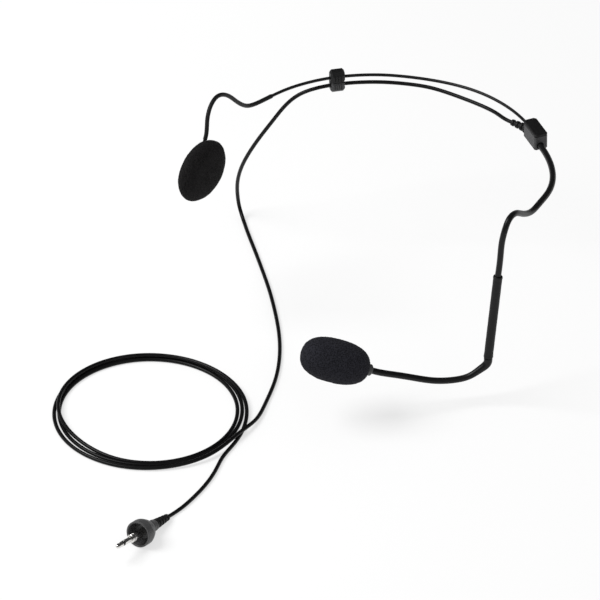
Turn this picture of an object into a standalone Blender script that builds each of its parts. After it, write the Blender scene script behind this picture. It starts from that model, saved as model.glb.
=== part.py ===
"""Headset microphone: a spring-wire band worn behind the head, a foam ear pad at one end, a boom with a
foam windscreen at the other, and a thin cord that ends in a small plug with a screw-lock collar.

The origin lies midway between the two places where the band turns up over the ears. +X points to the
wearer's left, +Y to the back of the head and +Z up. The cord drops to a surface below and lies on it.
"""
import math

import bmesh
import bpy
import numpy as np
from mathutils import Matrix, Vector

MM = 0.001

# Fits
CLEARANCE = 0.3 * MM        # between neighbours
CLOSE_FIT = 0.15 * MM       # between a wire and what is pressed or pulled over it

# Band: an arc behind the head, seen from above, centred on BAND_CENTRE
BAND_RADIUS = 78.0 * MM
BAND_CENTRE = Vector((0.0, -13.5, -0.9)) * MM
BAND_WIRE = 0.72 * MM       # wire radius
WIRE_SPREAD = 1.3 * MM      # how far the arc opens out where it meets the junction block
WIRE_CLIMB = 1.8 * MM       # and how far it climbs

# Soft sleeve pulled over the wire where it hooks over the ear
HOOK_SLEEVE_WALL = 0.2 * MM
HOOK_SLEEVE_START = 14.0 * MM   # from the pad's centre
HOOK_SLEEVE_LENGTH = 65.6 * MM

# Ear pad: a plastic plate in a foam cushion, turning on the end of the wire
PAD_INSIDE = 5.1 * MM       # the pad's centre is this far inside the band's radius
PAD_FORWARD = 30.1 * MM
PAD_BELOW = 8.3 * MM
PAD_CENTRE = BAND_CENTRE + Vector((PAD_INSIDE - BAND_RADIUS, -PAD_FORWARD, -PAD_BELOW))
PAD_NORMAL = (0.991, -0.122, -0.034)
PAD_STEM = (0.093, 0.512, 0.854)
PAD_RADIUS = 15.4 * MM
PAD_FRONT = 4.4 * MM        # face of the cushion ahead of the pad's centre
PAD_BACK = 4.2 * MM         # lip of the cushion behind it
PAD_LIP = 1.0 * MM
PAD_RIM = 4.4 * MM          # foam outside the plate
PAD_GRIP = 2.2 * MM         # how far the lip reaches in over the plate
PLATE_RADIUS = PAD_RADIUS - PAD_RIM
PAD_OPENING = PLATE_RADIUS - PAD_GRIP
PLATE_THICKNESS = 1.4 * MM
PLATE_NECK = 2.0 * MM       # width of the web between the plate and its barrel
BARREL_WALL = 0.6 * MM
BARREL_LENGTH = 12.0 * MM
BARREL_END = 0.7 * MM

# Junction block, in its own axes: X along the band, Y out from the head, Z up
BLOCK_ANGLE = 34.2
BLOCK_OFFSET = 2.0 * MM     # how far the block's middle stands outside the band's radius
BLOCK_LENGTH = 13.7 * MM
BLOCK_WIDTH = 6.4 * MM
BLOCK_BOTTOM = -5.9 * MM
BLOCK_LID = 1.15 * MM
BLOCK_WALL = 0.9 * MM
BLOCK_BEVEL = 0.45 * MM
BLOCK_CHAMFER = 1.1 * MM
POCKET_WALL = 0.7 * MM      # sides of the pocket
TUBE_SEAT = 4.2 * MM        # how deep the hook tube goes in
TUBE_EXIT = Vector((0.0, -0.5, -3.5)) * MM

# Crimp that anchors the wire in the block's pocket
ANCHOR_BORE = BAND_WIRE + CLOSE_FIT
ANCHOR_RADIUS = ANCHOR_BORE + 0.3 * MM
ANCHOR_GAP = 0.8 * MM       # before and after it in the pocket
ANCHOR_HEADROOM = 0.4 * MM
BLOCK_TOP = ANCHOR_RADIUS + ANCHOR_HEADROOM + BLOCK_LID

# Screw that holds the block's lid, driven from below
SCREW_SHANK = 0.55 * MM
SCREW_HEAD = 1.1 * MM
SCREW_WALL = 0.25 * MM      # between its recess and the hook tube's seat
SCREW_X = BLOCK_LENGTH / 2 - TUBE_SEAT - SCREW_WALL - SCREW_HEAD - CLEARANCE
SCREW_HEAD_HEIGHT = 0.9 * MM
SCREW_RECESS = 1.5 * MM
POCKET_START = BLOCK_WALL - BLOCK_LENGTH / 2
POCKET_STOP = SCREW_X - SCREW_SHANK - CLEARANCE - 1.1 * MM
POCKET_SIDE = BLOCK_WIDTH / 2 - POCKET_WALL
POCKET_FLOOR = BLOCK_BOTTOM + BLOCK_WALL

# Ribbed gland where the cord leaves the block
GLAND_STEM = 0.9 * MM
GLAND_FLANGE = 1.2 * MM
GLAND_BASE = 2.2 * MM
GLAND_TIP = 1.3 * MM
GLAND_RIBS = 4
GLAND_GROOVE = 0.35 * MM
GLAND_SIDE = GLAND_FLANGE + CLEARANCE - POCKET_SIDE
GLAND_ENTRY = Vector((0.0, GLAND_SIDE, POCKET_FLOOR + GLAND_FLANGE + CLEARANCE))
WIRE_ENTRY = Vector((0.0, GLAND_SIDE, 0.0))

# Tube that hooks over the ear on the microphone side, and the sleeve it ends in
HOOK_TUBE = 1.45 * MM
HOOK_TUBE_BORE = 0.9 * MM
SLEEVE_TOP = BAND_CENTRE + Vector((BAND_RADIUS - 0.35 * MM, -17.05 * MM, -16.7 * MM))
SLEEVE_AXIS = (-0.046, -0.110, -0.993)
SLEEVE_LENGTH = 43.5 * MM
SLEEVE_WALL = 0.35 * MM
SLEEVE_FIT = 0.4 * MM       # between the hook tube and the sleeve

# Boom: a stem that turns and slides in a bush, and the bent tube below it
BUSH_LENGTH = 11.5 * MM
BUSH_WALL = 0.35 * MM
BUSH_RECESS = 0.5 * MM
STEM_RADIUS = 0.9 * MM
STEM_IN_SLEEVE = 28.0 * MM
STEM_IN_BOOM = 2.0 * MM
STEM_GAP = 5.5 * MM         # between the stem's top and the hook tube's end
BUSH_BORE = STEM_RADIUS + CLEARANCE
SLEEVE_BORE = max(HOOK_TUBE + SLEEVE_FIT, BUSH_BORE + BUSH_WALL + CLEARANCE)
SLEEVE_RADIUS = SLEEVE_BORE + SLEEVE_WALL
BOOM_BORE = STEM_RADIUS + CLEARANCE
BOOM_WALL = 0.35 * MM
BOOM_RADIUS = BOOM_BORE + BOOM_WALL

# Microphone, in its own axes: Z along the windscreen, from its open end
MIC_OFFSET = Vector((-39.9, -39.95, 2.35)) * MM   # from the boom tube's top
MIC_AXIS = (-0.64, -0.61, 0.40)
HOLDER_WALL = 0.85 * MM
HOLDER_RADIUS = BOOM_RADIUS + CLEARANCE + HOLDER_WALL
HOLDER_BEVEL = 0.3 * MM
HOLDER_BEHIND = 2.2 * MM
HOLDER_AHEAD = 4.0 * MM
HOLDER_SOCKET = 2.0 * MM
HOUSING_RADIUS = 3.0 * MM
HOUSING_WALL = 0.4 * MM
HOUSING_RECESS = 0.6 * MM
BOARD_THICKNESS = 0.6 * MM
CAPSULE_LENGTH = 6.0 * MM
FELT_THICKNESS = 0.8 * MM
GRILLE_THICKNESS = 0.5 * MM
SCREEN_LENGTH = 32.4 * MM
SCREEN_RADIUS = 10.3 * MM
SCREEN_FULLNESS = 0.015     # how much fatter the far end is than the open end
SCREEN_SQUARENESS = 2.27    # 2 would be an egg
SCREEN_BLUNTNESS = 0.342    # 0.5 would be an egg
SCREEN_END_GAP = 2.6 * MM   # between the housing's mouth and the bottom of the foam's bore
SCREEN_LIP = 0.9 * MM

# Cord, its coil and the surface they lie on
CORD_RADIUS = 0.9 * MM
FLOOR = -84.0 * MM
COIL_CENTRE = Vector((-47.4, -128.0, 0.0)) * MM
COIL_INNER = 38.6 * MM
COIL_TURNS = 3
COIL_SLACK = 0.2 * MM
COIL_OUTER = COIL_INNER + COIL_TURNS * 2 * CORD_RADIUS + COIL_SLACK
COIL_HEIGHT = 2 * CORD_RADIUS + 0.6 * MM
CORD_INSET = 1.0 * MM       # the cord runs this far inside the band's radius
CORD_DROP = 3.3 * MM        # and this far below the wire in the clip
CORD_SPACING = 5.2 * MM     # between the points of its plain tubes

# Clip that gathers the cord to the band and slides along it
CLIP_ANGLE = -45.0
CLIP_CLIMB = 0.45 * MM      # how far the band has climbed where the clip slides
CLIP_LENGTH = 6.6 * MM
CLIP_WIDTH = 5.6 * MM
CLIP_COVER = 3.8 * MM       # from the wire up to its top, and from the cord down to its bottom
CLIP_PARTING = -CORD_DROP / 2
CLIP_CHAMFER = 1.5 * MM
CLIP_BEVEL = 0.8 * MM

# Plug, in its own axes: Z along the pin, from the collar's rim
PLUG_RIM = Vector((3.7, -216.5, -77.6)) * MM
PLUG_AXIS = (-0.015, -0.981, 0.195)
COLLAR_RADIUS = 6.2 * MM
COLLAR_WALL = 0.9 * MM
COLLAR_LENGTH = 9.6 * MM
COLLAR_STRAIGHT = 4.0 * MM
COLLAR_DEPTH = 5.4 * MM
COLLAR_BACK = 3.2 * MM
COLLAR_FLOOR = 1.2 * MM     # the bell's floor is this much wider than the flange
NECK_RADIUS = 2.2 * MM
BODY_RADIUS = 2.75 * MM
BODY_LENGTH = 3.5 * MM
FLANGE_RADIUS = 3.4 * MM
FLANGE_THICKNESS = 1.1 * MM
BOOT_LENGTH = 10.5 * MM
BOOT_BASE = 2.5 * MM
BOOT_TIP = 1.6 * MM
BOOT_RIBS = 5
BOOT_GROOVE = 0.4 * MM
BUSHING_RADIUS = 2.0 * MM
BUSHING_AHEAD = 5.9 * MM
PIN_RADIUS = 1.25 * MM
PIN_LENGTH = 11.3 * MM
PIN_CORE = 0.4 * MM
PIN_BORE = PIN_CORE + CLEARANCE
CORE_START = 2.8 * MM       # from the bushing's back
RING_LENGTH = 0.8 * MM
TIP_LENGTH = 4.4 * MM
TIP_WAIST = 0.9 * MM
TIP_NOSE = 0.5 * MM


def clear_scene():
    """Start from nothing."""
    for item in list(bpy.data.objects):
        bpy.data.objects.remove(item)


def plastic(name, colour, roughness, metallic=0.0):
    """A plain material in one colour."""
    material = bpy.data.materials.new(name)
    material.use_nodes = True
    surface = material.node_tree.nodes["Principled BSDF"]
    surface.inputs["Base Color"].default_value = (*colour, 1.0)
    surface.inputs["Roughness"].default_value = roughness
    surface.inputs["Metallic"].default_value = metallic
    return material


def make_object(name, mesh_data, material, sharp_degrees=35.0):
    """Turn a bmesh into a named object with smooth shading between its sharp edges."""
    bmesh.ops.recalc_face_normals(mesh_data, faces=mesh_data.faces)
    mesh = bpy.data.meshes.new(name)
    mesh_data.to_mesh(mesh)
    mesh_data.free()
    mesh.shade_smooth()
    mesh.set_sharp_from_angle(angle=math.radians(sharp_degrees))
    mesh.materials.append(material)
    piece = bpy.data.objects.new(name, mesh)
    bpy.context.collection.objects.link(piece)
    return piece


def lathe(name, profile, material, segments=28, turn=Matrix()):
    """Turned solid about Z from (radius, height) points, then moved by turn.

    A profile that starts and ends on the axis is closed there; any other is closed back to its first
    point, which makes a ring or a tube.
    """
    mesh = bmesh.new()
    rings = []
    for radius, height in profile:
        count = segments if radius > 0 else 1
        angles = [2 * math.pi * step / count for step in range(count)]
        ring = [mesh.verts.new((radius * math.cos(a), radius * math.sin(a), height)) for a in angles]
        rings.append(ring)
    pairs = list(zip(rings, rings[1:]))
    if profile[0][0] > 0 or profile[-1][0] > 0:
        pairs.append((rings[-1], rings[0]))
    for low, high in pairs:
        for step in range(segments):
            after = (step + 1) % segments
            corners = [low[step % len(low)], low[after % len(low)]]
            corners += [high[after % len(high)], high[step % len(high)]]
            face = list(dict.fromkeys(corners))
            if len(face) > 2:
                mesh.faces.new(face)
    mesh.transform(turn)
    return make_object(name, mesh, material)


def rod(name, radius, low, high, material, segments=28, turn=Matrix()):
    """Solid cylinder about Z between two heights."""
    profile = [(0, low), (radius, low), (radius, high), (0, high)]
    return lathe(name, profile, material, segments, turn)


def ring(name, outer, inner, low, high, material, segments=28, turn=Matrix()):
    """Open tube about Z between two heights."""
    profile = [(inner, low), (outer, low), (outer, high), (inner, high)]
    return lathe(name, profile, material, segments, turn)


def slab(name, outline, low, high, material, bevel_low=0.0, bevel_high=0.0):
    """Flat outline in XY, raised from low to high, with its end edges bevelled."""
    mesh = bmesh.new()
    floor = mesh.faces.new([mesh.verts.new((x, y, low)) for x, y in outline])
    raised = bmesh.ops.extrude_face_region(mesh, geom=[floor])["geom"]
    roof = [item for item in raised if isinstance(item, bmesh.types.BMVert)]
    bmesh.ops.translate(mesh, verts=roof, vec=(0, 0, high - low))
    for height, width in ((low, bevel_low), (high, bevel_high)):
        if width > 0:
            edges = [e for e in mesh.edges if all(abs(v.co.z - height) < 1e-7 for v in e.verts)]
            bmesh.ops.bevel(mesh, geom=edges, offset=width, segments=1, affect="EDGES")
    return make_object(name, mesh, material)


def carve(piece, tool, operation="DIFFERENCE"):
    """Cut the tool out of the piece, or join it on, and drop the tool."""
    modifier = piece.modifiers.new("carve", "BOOLEAN")
    modifier.operation = operation
    modifier.object = tool
    bpy.context.view_layer.update()
    graph = bpy.context.evaluated_depsgraph_get()
    mesh = bpy.data.meshes.new_from_object(piece.evaluated_get(graph))
    piece.modifiers.clear()
    piece.data = mesh
    mesh.shade_smooth()
    mesh.set_sharp_from_angle(angle=math.radians(35))
    bpy.data.objects.remove(tool)


def axes(name, origin, z_axis, x_hint):
    """Empty whose Z lies along z_axis and whose X is as near to x_hint as it can be."""
    z = Vector(z_axis).normalized()
    x = Vector(x_hint)
    x = (x - z * x.dot(z)).normalized()
    y = z.cross(x)
    empty = bpy.data.objects.new(name, None)
    bpy.context.collection.objects.link(empty)
    empty.matrix_world = Matrix.Translation(origin) @ Matrix((x, y, z)).transposed().to_4x4()
    bpy.context.view_layer.update()
    return empty


def band_axes(name, angle):
    """Empty on the band's centre, with Y pointing out at the given angle from the back of the head."""
    turned = math.radians(angle)
    return axes(name, BAND_CENTRE, (0, 0, 1), (math.cos(turned), -math.sin(turned), 0))


def place(pieces, empty):
    """Put pieces modelled in an empty's axes into it."""
    for piece in pieces:
        piece.parent = empty


def hang(piece, empty):
    """Parent a piece modelled in place to the empty on its joint's axis."""
    piece.parent = empty
    piece.matrix_parent_inverse = empty.matrix_world.inverted()


def band_point(angle, inset=0.0, drop=0.0):
    """Point at an angle from the back of the head, inside and below the band's arc."""
    turned = math.radians(angle)
    reach = BAND_RADIUS - inset
    return BAND_CENTRE + Vector((reach * math.sin(turned), reach * math.cos(turned), -drop))


def block_point(x, y, z):
    """Point in the junction block's axes, in place."""
    turned = math.radians(BLOCK_ANGLE)
    along = Vector((math.cos(turned), -math.sin(turned), 0)) * x
    outward = Vector((math.sin(turned), math.cos(turned), 0)) * (BAND_RADIUS + BLOCK_OFFSET + y)
    return BAND_CENTRE + along + outward + Vector((0, 0, z + WIRE_CLIMB))


def ear_point(side, out, forward, up):
    """Point beside an ear: side is 1 or -1, and out is beyond the band's radius."""
    return BAND_CENTRE + Vector((side * (BAND_RADIUS + out * MM), -forward * MM, up * MM))


def unit(vector):
    return Vector(vector).normalized()


def pad_foot(rise=0.0):
    """Point on the end of the wire, behind the pad's centre and up along the wire."""
    stem = pad_stem()
    return PAD_CENTRE - unit(PAD_NORMAL) * wire_offset() + stem * rise


def pad_stem():
    """The wire's direction at the pad, square to the pad's normal."""
    normal = unit(PAD_NORMAL)
    stem = Vector(PAD_STEM)
    return (stem - normal * stem.dot(normal)).normalized()


def wire_offset():
    """How far the wire runs behind the pad's centre, clear of the cushion's lip."""
    return PAD_BACK + CLEARANCE + BAND_WIRE + 0.05 * MM


def sleeve_point(distance):
    """Point on the boom sleeve's axis, down from its top."""
    return SLEEVE_TOP + unit(SLEEVE_AXIS) * distance


def boom_top():
    """Where the boom's tube starts, just below the sleeve."""
    return sleeve_point(SLEEVE_LENGTH + CLEARANCE)


def mic_point(distance):
    """Point on the microphone's axis, ahead of the windscreen's open end."""
    return boom_top() + MIC_OFFSET + unit(MIC_AXIS) * distance


def plug_point(distance):
    """Point on the plug's axis, ahead of the collar's rim."""
    return PLUG_RIM + unit(PLUG_AXIS) * distance


class Route:
    """Smooth curve through chosen points, a natural cubic spline over the chords between them."""

    def __init__(self, marks, floor=None):
        marks = np.array([tuple(mark) for mark in marks])
        chords = np.linalg.norm(np.diff(marks, axis=0), axis=1)
        knots = np.concatenate([[0.0], np.cumsum(chords)])
        fine = np.linspace(0.0, knots[-1], int(knots[-1] / (0.25 * MM)) + 2)
        self.points = self.spline(knots, marks, fine)
        if floor is not None:
            self.points[:, 2] = np.maximum(self.points[:, 2], floor)
        steps = np.linalg.norm(np.diff(self.points, axis=0), axis=1)
        self.distance = np.concatenate([[0.0], np.cumsum(steps)])
        self.length = self.distance[-1]
        self.carry_normals()

    @staticmethod
    def spline(knots, marks, fine):
        """Solve the spline's curvature at each point, then read it at the fine steps."""
        count = len(knots)
        width = np.diff(knots)[:, None]
        rise = np.diff(marks, axis=0) / width
        system = np.eye(count)
        target = np.zeros_like(marks)
        for row in range(1, count - 1):
            system[row, row - 1] = width[row - 1, 0]
            system[row, row] = 2 * (width[row - 1, 0] + width[row, 0])
            system[row, row + 1] = width[row, 0]
            target[row] = 6 * (rise[row] - rise[row - 1])
        bend = np.linalg.solve(system, target)
        left = np.clip(np.searchsorted(knots, fine, side="right") - 1, 0, count - 2)
        step = width[left]
        after = (fine[:, None] - knots[left][:, None]) / step
        before = 1 - after
        straight = before * marks[left] + after * marks[left + 1]
        curve = (before ** 3 - before) * bend[left] + (after ** 3 - after) * bend[left + 1]
        return straight + curve * step ** 2 / 6

    def carry_normals(self):
        """A direction across the curve at each point, carried along without twisting."""
        tangents = np.gradient(self.points, axis=0)
        self.tangents = tangents / np.linalg.norm(tangents, axis=1)[:, None]
        across = np.cross(self.tangents[0], (0.31, 0.17, 0.94))
        normals = []
        for tangent in self.tangents:
            across = across - tangent * np.dot(across, tangent)
            across = across / np.linalg.norm(across)
            normals.append(across)
        self.normals = np.array(normals)

    def at(self, distance):
        """Point, direction across and second direction across at a distance along the curve."""
        point = [np.interp(distance, self.distance, self.points[:, k]) for k in range(3)]
        index = min(int(np.searchsorted(self.distance, distance)), len(self.normals) - 1)
        normal = self.normals[index]
        return np.array(point), normal, np.cross(self.tangents[index], normal)

    def spaced(self, spacing):
        """Points at equal distances along the curve."""
        count = max(2, round(self.length / spacing) + 1)
        return [self.at(distance)[0] for distance in np.linspace(0, self.length, count)]


def sweep(name, route, outer, material, inner=(), sides=10):
    """Round section carried along a route; outer and inner are (distance, radius) pairs.

    With an inner list the piece is a tube open at both ends, otherwise it is solid.
    """
    mesh = bmesh.new()
    rings = []
    for distance, radius in list(outer) + list(reversed(inner)):
        point, normal, other = route.at(distance)
        angles = [2 * math.pi * step / sides for step in range(sides)]
        spokes = [normal * math.cos(a) + other * math.sin(a) for a in angles]
        rings.append([mesh.verts.new(point + radius * spoke) for spoke in spokes])
    pairs = list(zip(rings, rings[1:]))
    if inner:
        pairs.append((rings[-1], rings[0]))
    else:
        mesh.faces.new(rings[0])
        mesh.faces.new(rings[-1])
    for low, high in pairs:
        for step in range(sides):
            after = (step + 1) % sides
            mesh.faces.new([low[step], low[after], high[after], high[step]])
    return make_object(name, mesh, material)


def even(start, stop, radius, spacing):
    """(distance, radius) pairs of one radius at even steps from start to stop."""
    count = max(2, round((stop - start) / spacing) + 1)
    return [(distance, radius) for distance in np.linspace(start, stop, count)]


def ribs(start, stop, base, tip, count, groove):
    """(distance, radius) pairs of a taper from base to tip, cut by square grooves between its ribs."""
    pitch = (stop - start) / (2 * count - 1)
    pairs = []
    for step in range(2 * count - 1):
        low = start + step * pitch
        sunk = groove if step % 2 else 0.0
        for place_on in (low, low + pitch):
            taper = base + (tip - base) * (place_on - start) / (stop - start)
            pairs.append((place_on, taper - sunk))
    return pairs


def cord(name, route, material):
    """Plain tube along a cord's route, as a poly curve with filled caps."""
    curve = bpy.data.curves.new(name, "CURVE")
    curve.dimensions = "3D"
    curve.bevel_depth = CORD_RADIUS
    curve.bevel_resolution = 2
    curve.use_fill_caps = True
    points = route.spaced(CORD_SPACING)
    spline = curve.splines.new("POLY")
    spline.points.add(len(points) - 1)
    for target, point in zip(spline.points, points):
        target.co = (*point, 1.0)
    curve.materials.append(material)
    piece = bpy.data.objects.new(name, curve)
    bpy.context.collection.objects.link(piece)
    return piece


def wire_route():
    """The band wire's line from inside the ear pad, over the ear, round the back and into the block."""
    inside_pad = BARREL_END + CLEARANCE - BARREL_LENGTH / 2
    marks = [pad_foot(inside_pad), pad_foot(), pad_foot(8 * MM), pad_foot(15 * MM)]
    over_ear = [(-0.1, 18.7, 11.9), (0.6, 15.4, 16.1), (1.0, 9.0, 18.3), (0.3, 2.5, 15.7)]
    over_ear += [(-0.8, -4.5, 8.5), (-1.1, -9.3, 3.8), (-1.4, -14.1, 0.6)]
    marks += [ear_point(-1, out, forward, up) for out, forward, up in over_ear]
    for angle, climb in ((-73, -0.8 * MM), (-65, -0.2 * MM), (-55, 0.3 * MM)):
        marks.append(band_point(angle, 0.0, -climb))
    for angle in (-47, -38, -29, -20):
        marks.append(band_point(angle, 0.0, -CLIP_CLIMB))
    for angle, share in ((-5, 0.5), (5, 0.8), (14, 0.95), (22, 1.0)):
        marks.append(band_point(angle, -WIRE_SPREAD * share, -WIRE_CLIMB * share))
    near_end = -BLOCK_LENGTH / 2
    marks.append(block_point(near_end - 1.5 * MM, WIRE_ENTRY.y - 0.2 * MM, WIRE_ENTRY.z))
    marks.append(block_point(near_end + BLOCK_WALL, WIRE_ENTRY.y, WIRE_ENTRY.z))
    marks.append(block_point(wire_stop(), WIRE_ENTRY.y, WIRE_ENTRY.z))
    return Route(marks)


def wire_stop():
    """Where the wire ends inside the block, along the block."""
    return POCKET_STOP - ANCHOR_GAP


def band_wire(route, material):
    """Spring wire, one length from the ear pad to the block."""
    return sweep("band_wire", route, even(0, route.length, BAND_WIRE, 3.4 * MM), material)


def hook_sleeve(route, material):
    """Soft sleeve over the ear hook, from just above the pad to a little past the corner."""
    start = BARREL_LENGTH / 2 - BARREL_END - CLEARANCE + HOOK_SLEEVE_START
    stop = start + HOOK_SLEEVE_LENGTH
    bore = BAND_WIRE + CLOSE_FIT
    outer = even(start, stop, bore + HOOK_SLEEVE_WALL, 2.6 * MM)
    inner = even(start, stop, bore, 2.6 * MM)
    return sweep("ear_hook_sleeve", route, outer, material, inner)


def pad_pieces(plate_material, foam_material):
    """Ear pad in axes whose Z is the wire's end and whose X is the pad's normal."""
    across = Matrix.Translation((wire_offset(), 0, 0)) @ Matrix.Rotation(math.pi / 2, 4, "Y")
    pocket_back = -PAD_BACK + PAD_LIP
    plate_back = pocket_back + CLEARANCE
    plate_front = plate_back + PLATE_THICKNESS
    plate = rod("pad_plate", PLATE_RADIUS, plate_back, plate_front, plate_material, 32, across)
    bore = BAND_WIRE + CLEARANCE
    barrel_radius = bore + BARREL_WALL
    half = BARREL_LENGTH / 2
    neck_reach = wire_offset() + plate_back + PLATE_THICKNESS / 2
    web = PLATE_NECK / 2
    neck_outline = [(0, -web), (neck_reach, -web), (neck_reach, web), (0, web)]
    neck = slab("neck", neck_outline, -half * 0.7, half * 0.7, plate_material)
    carve(plate, neck, "UNION")
    carve(plate, rod("barrel", barrel_radius, -half, half, plate_material, 20), "UNION")
    carve(plate, rod("bore", bore, -half + BARREL_END, half + MM, plate_material, 16))
    pocket = PLATE_RADIUS + CLEARANCE
    foam_profile = [(0, PAD_FRONT), (PAD_RADIUS / 3, PAD_FRONT - 0.1 * MM)]
    foam_profile.append((PAD_RADIUS * 2 / 3, PAD_FRONT - 0.6 * MM))
    foam_profile += [(PAD_RADIUS - 1.8 * MM, PAD_FRONT - 2.0 * MM), (PAD_RADIUS - 0.4 * MM, 0.8 * MM)]
    foam_profile += [(PAD_RADIUS, -0.8 * MM), (PAD_RADIUS - 0.7 * MM, -2.8 * MM)]
    foam_profile += [(PAD_RADIUS - 2.2 * MM, -PAD_BACK), (PAD_OPENING, -PAD_BACK)]
    foam_profile += [(PAD_OPENING, pocket_back), (pocket, pocket_back)]
    foam_profile += [(pocket, plate_front + CLEARANCE), (0, plate_front + CLEARANCE)]
    foam = lathe("pad_foam", foam_profile, foam_material, 32, across)
    return [plate, foam]


def block_outline():
    """The block seen from above, with its corners cut."""
    end = BLOCK_LENGTH / 2
    side = BLOCK_WIDTH / 2
    small = 0.6 * BLOCK_CHAMFER
    outline = [(-end, -side + BLOCK_CHAMFER), (-end + BLOCK_CHAMFER, -side)]
    outline += [(end - small, -side), (end, -side + small), (end, side - small), (end - small, side)]
    outline += [(-end + BLOCK_CHAMFER, side), (-end, side - BLOCK_CHAMFER)]
    return outline


def block_pieces(body_material, metal):
    """Junction block's base, lid and screw, about the middle of the block's length."""
    lift = Matrix.Translation((0, BAND_RADIUS + BLOCK_OFFSET, WIRE_CLIMB))
    end = BLOCK_LENGTH / 2
    lid_bottom = BLOCK_TOP - BLOCK_LID
    base_top = lid_bottom - CLEARANCE
    outline = block_outline()
    base = slab("block_base", outline, BLOCK_BOTTOM, base_top, body_material, BLOCK_BEVEL)
    lid = slab("block_lid", outline, lid_bottom, BLOCK_TOP, body_material, 0.0, BLOCK_BEVEL)
    side = POCKET_SIDE
    pocket = [(POCKET_START, -side), (POCKET_STOP, -side), (POCKET_STOP, side), (POCKET_START, side)]
    carve(base, slab("pocket", pocket, POCKET_FLOOR, BLOCK_TOP, body_material))
    for radius, entry in ((BAND_WIRE, WIRE_ENTRY), (GLAND_STEM, GLAND_ENTRY)):
        hole = lengthways_at(entry)
        carve(base, rod("hole", radius + CLEARANCE, -end - MM, POCKET_START + MM, metal, 16, hole))
    tube_hole = lengthways_at(TUBE_EXIT)
    carve(base, rod("hole", HOOK_TUBE + CLEARANCE, end - TUBE_SEAT, end + MM, metal, 20, tube_hole))
    screw_place = Matrix.Translation((SCREW_X, 0, 0))
    shank_hole = SCREW_SHANK + CLEARANCE
    recess_top = BLOCK_BOTTOM + SCREW_RECESS
    carve(base, rod("hole", shank_hole, recess_top - MM, BLOCK_TOP, metal, 16, screw_place))
    head_hole = SCREW_HEAD + CLEARANCE
    carve(base, rod("hole", head_hole, BLOCK_BOTTOM - MM, recess_top, metal, 20, screw_place))
    lid_hole_top = BLOCK_TOP - BLOCK_LID / 2
    carve(lid, rod("hole", shank_hole, lid_bottom - MM, lid_hole_top, metal, 16, screw_place))
    head_top = recess_top - CLEARANCE
    screw_profile = [(0, head_top - SCREW_HEAD_HEIGHT), (SCREW_HEAD, head_top - SCREW_HEAD_HEIGHT)]
    screw_profile += [(SCREW_HEAD, head_top), (SCREW_SHANK, head_top)]
    screw_profile += [(SCREW_SHANK, lid_hole_top - CLEARANCE), (0, lid_hole_top - CLEARANCE)]
    screw = lathe("block_screw", screw_profile, metal, 16, screw_place)
    start = POCKET_START + ANCHOR_GAP
    anchor_place = lengthways_at(WIRE_ENTRY)
    anchor = ring("wire_anchor", ANCHOR_RADIUS, ANCHOR_BORE, start, wire_stop(), metal, 16, anchor_place)
    pieces = [base, lid, screw, anchor]
    for piece in pieces:
        piece.data.transform(lift)
    return pieces


def lengthways_at(entry):
    """Turn that lays a Z rod along the block's X, through an entry point."""
    return Matrix.Translation(entry) @ Matrix.Rotation(math.pi / 2, 4, "Y")


def gland_route():
    """The gland's line: square out of the block's end, then bending in towards the band's curve."""
    near = -BLOCK_LENGTH / 2
    marks = [block_point(near + BLOCK_WALL + 1.4 * MM, GLAND_ENTRY.y, GLAND_ENTRY.z)]
    marks.append(block_point(near, GLAND_ENTRY.y, GLAND_ENTRY.z))
    marks.append(block_point(near - 1.7 * MM, GLAND_ENTRY.y - 0.4 * MM, GLAND_ENTRY.z))
    marks.append(block_point(near - 4.6 * MM, GLAND_ENTRY.y - 1.8 * MM, GLAND_ENTRY.z))
    marks.append(block_point(near - 8.4 * MM, GLAND_ENTRY.y - 3.9 * MM, GLAND_ENTRY.z - 0.1 * MM))
    return Route(marks)


def cord_gland(route, material):
    """Ribbed rubber gland: flange inside the block, stem through its wall, tapered ribs outside."""
    wall_inside = 1.4 * MM
    wall_outside = wall_inside + BLOCK_WALL
    flange_stop = wall_inside - CLEARANCE
    outer = [(0.3 * MM, GLAND_FLANGE), (flange_stop, GLAND_FLANGE), (flange_stop, GLAND_STEM)]
    outer.append((wall_outside + CLEARANCE, GLAND_STEM))
    outer += ribs(wall_outside + CLEARANCE, route.length, GLAND_BASE, GLAND_TIP, GLAND_RIBS, GLAND_GROOVE)
    return sweep("cord_gland", route, outer, material, sides=14)


def clip_outline(low, high, cut_high):
    """Half of the clip seen along the band, with the two corners away from the parting cut."""
    side = CLIP_WIDTH / 2
    cut_low = 0.0 if cut_high else CLIP_CHAMFER
    cut_top = CLIP_CHAMFER if cut_high else 0.0
    outline = [(-side + cut_low, low), (side - cut_low, low), (side, low + cut_low)]
    outline += [(side, high - cut_top), (side - cut_top, high), (-side + cut_top, high)]
    outline += [(-side, high - cut_top), (-side, low + cut_low)]
    return list(dict.fromkeys(outline))


def clip_half(name, low, high, cut_high, material):
    """One half of the clip, with its section carried along the band and its ends chamfered."""
    half = CLIP_LENGTH / 2
    piece = slab(name, clip_outline(low, high, cut_high), -half, half, material, CLIP_BEVEL, CLIP_BEVEL)
    stand = Matrix(((0, 0, 1, 0), (1, 0, 0, BAND_RADIUS), (0, 1, 0, CLIP_CLIMB), (0, 0, 0, 1)))
    piece.data.transform(stand)
    return piece


def clip_bore(radius, inset, drop, material):
    """Cutter along the band's arc, so that the clip can slide round it."""
    reach = BAND_RADIUS - inset
    steps = [math.radians(angle) for angle in range(-6, 7, 2)]
    marks = [(reach * math.sin(step), reach * math.cos(step), CLIP_CLIMB - drop) for step in steps]
    route = Route(marks)
    return sweep("bore", route, even(0, route.length, radius, 2.2 * MM), material, sides=14)


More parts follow.
